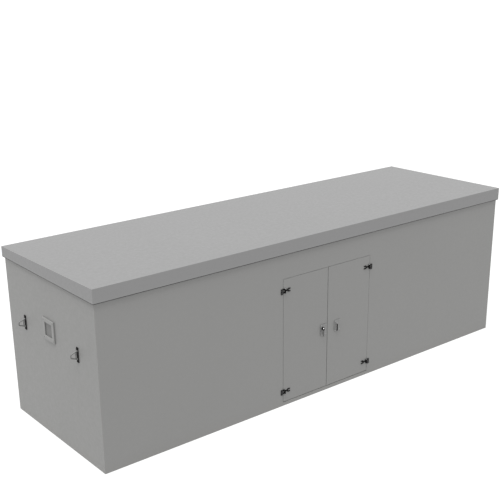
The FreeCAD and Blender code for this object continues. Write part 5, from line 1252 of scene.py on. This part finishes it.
def make_tank_fittings():
    """The day tank's sight gauge, its fuel pipe to the engine and its two straps."""
    low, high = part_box("day_tank")
    gauge_x, gauge_out = low.x + 0.25, low.y - 0.03
    pipe_y, pipe_z, drop_x = 0.55, 0.13, high.x + 0.25
    pipes, straps = bmesh.new(), bmesh.new()
    add_tube(pipes, [(gauge_x, low.y + 0.005, 0.66), (gauge_x, gauge_out, 0.66), (gauge_x, gauge_out, 1.26),
                     (gauge_x, low.y + 0.005, 1.26)], 0.007, 0.015)
    add_tube(pipes, [(high.x - 0.01, pipe_y, 0.62), (drop_x, pipe_y, 0.62), (drop_x, pipe_y, pipe_z),
                     (-0.6, pipe_y, pipe_z), (-0.6, 0.30, pipe_z), (-0.25, 0.22, pipe_z)], 0.009, 0.05)
    piece("tank_gauge_lines", pipes, "copper")
    half_wide, thick, foot, top = 0.02, 0.003, 0.55, 1.363
    for x in (low.x + 0.2, high.x - 0.2):
        for y in (low.y - thick, high.y):
            add_box(straps, (x - half_wide, y, foot), (x + half_wide, y + thick, top))
        add_box(straps, (x - half_wide, low.y - thick, top - thick), (x + half_wide, high.y + thick, top))
    piece("tank_straps", straps, "zinc")


def cabinet_block(mesh, corner, xs, depths, zs):
    """A block by pairs of distances rightwards, forwards and upwards from a corner of the cabinet."""
    low, high = zip(xs, depths, zs)
    add_box(mesh, (corner[0] + low[0], corner[1] - low[1], corner[2] + low[2]),
            (corner[0] + high[0], corner[1] - high[1], corner[2] + high[2]))


def make_panel_front():
    """Display, lamps, switches, handle and vents on the control cabinet's door."""
    base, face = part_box("control_door")[0].z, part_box("control_door")[0].y
    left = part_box("control_cabinet")[1].x - 0.5
    corner = (left, face, base)
    fittings, glass, rims, ring = bmesh.new(), bmesh.new(), bmesh.new(), bmesh.new()
    cabinet_block(fittings, corner, (0.08, 0.42), (0.012, 0.0), (0.45, 0.56))
    cabinet_block(rims, corner, (0.16, 0.43), (0.010, 0.0), (0.585, 0.745))
    cabinet_block(glass, corner, (0.18, 0.36), (0.0112, 0.0095), (0.62, 0.73))
    knob = [(0.012, 0.0), (0.012, 0.012), (0.020, 0.012), (0.022, 0.009), (0.022, 0.0)]
    for x in spread(0.115, 0.379, 5):
        add_turned(fittings, knob, (left + x, face, base + 0.505), TO_FRONT, 24)
    cabinet_block(fittings, corner, (0.45, 0.475), (0.018, 0.0), (0.36, 0.47))
    cabinet_block(fittings, corner, (0.455, 0.470), (0.030, 0.018), (0.37, 0.45))
    for z in spread(0.08, 0.24, 9):
        cabinet_block(fittings, corner, (0.12, 0.38), (0.003, 0.0), (z, z + 0.008))
    round_edges(fittings, 0.0012)
    round_edges(rims, 0.003)
    for name, mesh, material in (("fittings", fittings, "plastic"), ("bezel", rims, "plastic"),
                                 ("display", glass, "display")):
        piece(f"panel_{name}", mesh, material, "panel_door")
    for name, x, z, material in (("running", 0.385, 0.70, "green"), ("alarm", 0.405, 0.64, "amber")):
        lamp = bmesh.new()
        add_dome(lamp, (left + x, face - 0.010, base + z), TO_FRONT, 0.007, 0.005)
        piece(f"{name}_lamp", lamp, material, "panel_door")
    stop = middle_of("estop_button")
    add_turned(ring, [(0.0, 0.0135), (0.0, 0.03), (0.0006, 0.0297), (0.0007, 0.0135)], (stop.x, face, stop.z),
               TO_FRONT, 36)
    piece("stop_backing_ring", ring, "yellow", "panel_door")


def make_switchgear():
    """Breakers on three rails between cable ducts, inside the control cabinet."""
    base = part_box("control_door")[0].z
    left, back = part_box("control_cabinet")[1].x - 0.5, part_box("control_cabinet")[1].y - 0.006
    corner = (left, back, base)
    gear, rail = bmesh.new(), bmesh.new()
    for row in (0.12, 0.34, 0.56):
        cabinet_block(rail, corner, (0.05, 0.45), (0.012, 0.0), (row + 0.04, row + 0.075))
        for i in range(9):
            x = 0.06 + i * 0.042
            wide = 0.036 if (i + int(row * 50)) % 4 else 0.020
            cabinet_block(gear, corner, (x, x + wide), (0.075, 0.012), (row, row + 0.10))
            toggle = (x + 0.006, x + wide - 0.006)
            cabinet_block(gear, corner, toggle, (0.085, 0.075), (row + 0.04, row + 0.06))
    for row in (0.06, 0.26, 0.48, 0.69):
        cabinet_block(gear, corner, (0.04, 0.46), (0.055, 0.0), (row, row + 0.035))
    round_edges(gear, 0.0012, 1)
    piece("switchgear_rows", gear, "tank")
    piece("switchgear_rails", rail, "zinc")


# ---------------------------------------------------------------- stage, light and camera


WORLD_STRENGTH = 1.0
FLOOR_GLOW = 0.85
FLOOR_TONE = 0.15
FLOOR_REACH = 260.0
SUN_STRENGTH = 3.0
SUN_SPREAD = 26
SUN_FROM = (-0.28, -0.17, 1.0)
CAMERA_PLACE = (-9.681, -11.564, 6.843)
CAMERA_AIM = (0.6063, 0.7182, -0.3415)
CAMERA_LENS = 68.75
CAMERA_SHIFT = (-0.0574, 0.0800)


def make_floor():
    """Pale floor with a white glow of its own."""
    mesh = bmesh.new()
    corners = ((-1, -1), (1, -1), (1, 1), (-1, 1))
    mesh.faces.new([mesh.verts.new((x * FLOOR_REACH, y * FLOOR_REACH, 0.0)) for x, y in corners])
    data = bpy.data.meshes.new("studio_floor")
    mesh.to_mesh(data)
    mesh.free()
    shade = Shade("Studio_floor", roughness=0.9, Specular_IOR_Level=0.0, Emission_Strength=FLOOR_GLOW)
    dark, light = rgb(FLOOR_TONE - 0.01), rgb(FLOOR_TONE + 0.01)
    shade.colour(shade.between(shade.noise(0.4, 3.0), 0.3, 0.7, dark, light))
    shade.surface.inputs["Emission Color"].default_value = rgb(1.0)
    shade.material.cycles.emission_sampling = "NONE"
    data.materials.append(shade.material)
    floor = add_object("studio_floor", data)


def make_light():
    """Soft white surround and one broad overhead light, from above the left end."""
    world = bpy.data.worlds.new("studio")
    bpy.context.scene.world = world
    world.use_nodes = True
    back = world.node_tree.nodes["Background"]
    back.inputs["Color"].default_value = rgb(1.0)
    back.inputs["Strength"].default_value = WORLD_STRENGTH
    sun = bpy.data.lights.new("overhead", "SUN")
    sun.energy = SUN_STRENGTH
    sun.angle = math.radians(SUN_SPREAD)
    lamp = add_object("overhead", sun)
    lamp.rotation_euler = Vector(SUN_FROM).to_track_quat("Z", "Y").to_euler()


def make_camera():
    data = bpy.data.cameras.new("camera")
    data.sensor_width = 36.0
    data.lens = CAMERA_LENS
    data.shift_x, data.shift_y = CAMERA_SHIFT
    data.clip_end = 1000.0
    camera = add_object("camera", data)
    camera.location = CAMERA_PLACE
    camera.rotation_euler = Vector(CAMERA_AIM).to_track_quat("-Z", "Y").to_euler()
    bpy.context.scene.camera = camera
    bpy.context.scene.view_settings.view_transform = "Standard"


finish_nodes()
make_walls()
make_eave_shadow_strip()
make_doors()
make_end_fittings()
make_rear_and_side()
make_lights()
make_mount_bolts()
make_head_bolts()
make_engine_sides()
make_intake_duct()
make_alternator()
make_cooling()
make_batteries()
make_tank_fittings()
make_panel_front()
make_switchgear()
make_floor()
make_light()
make_camera()
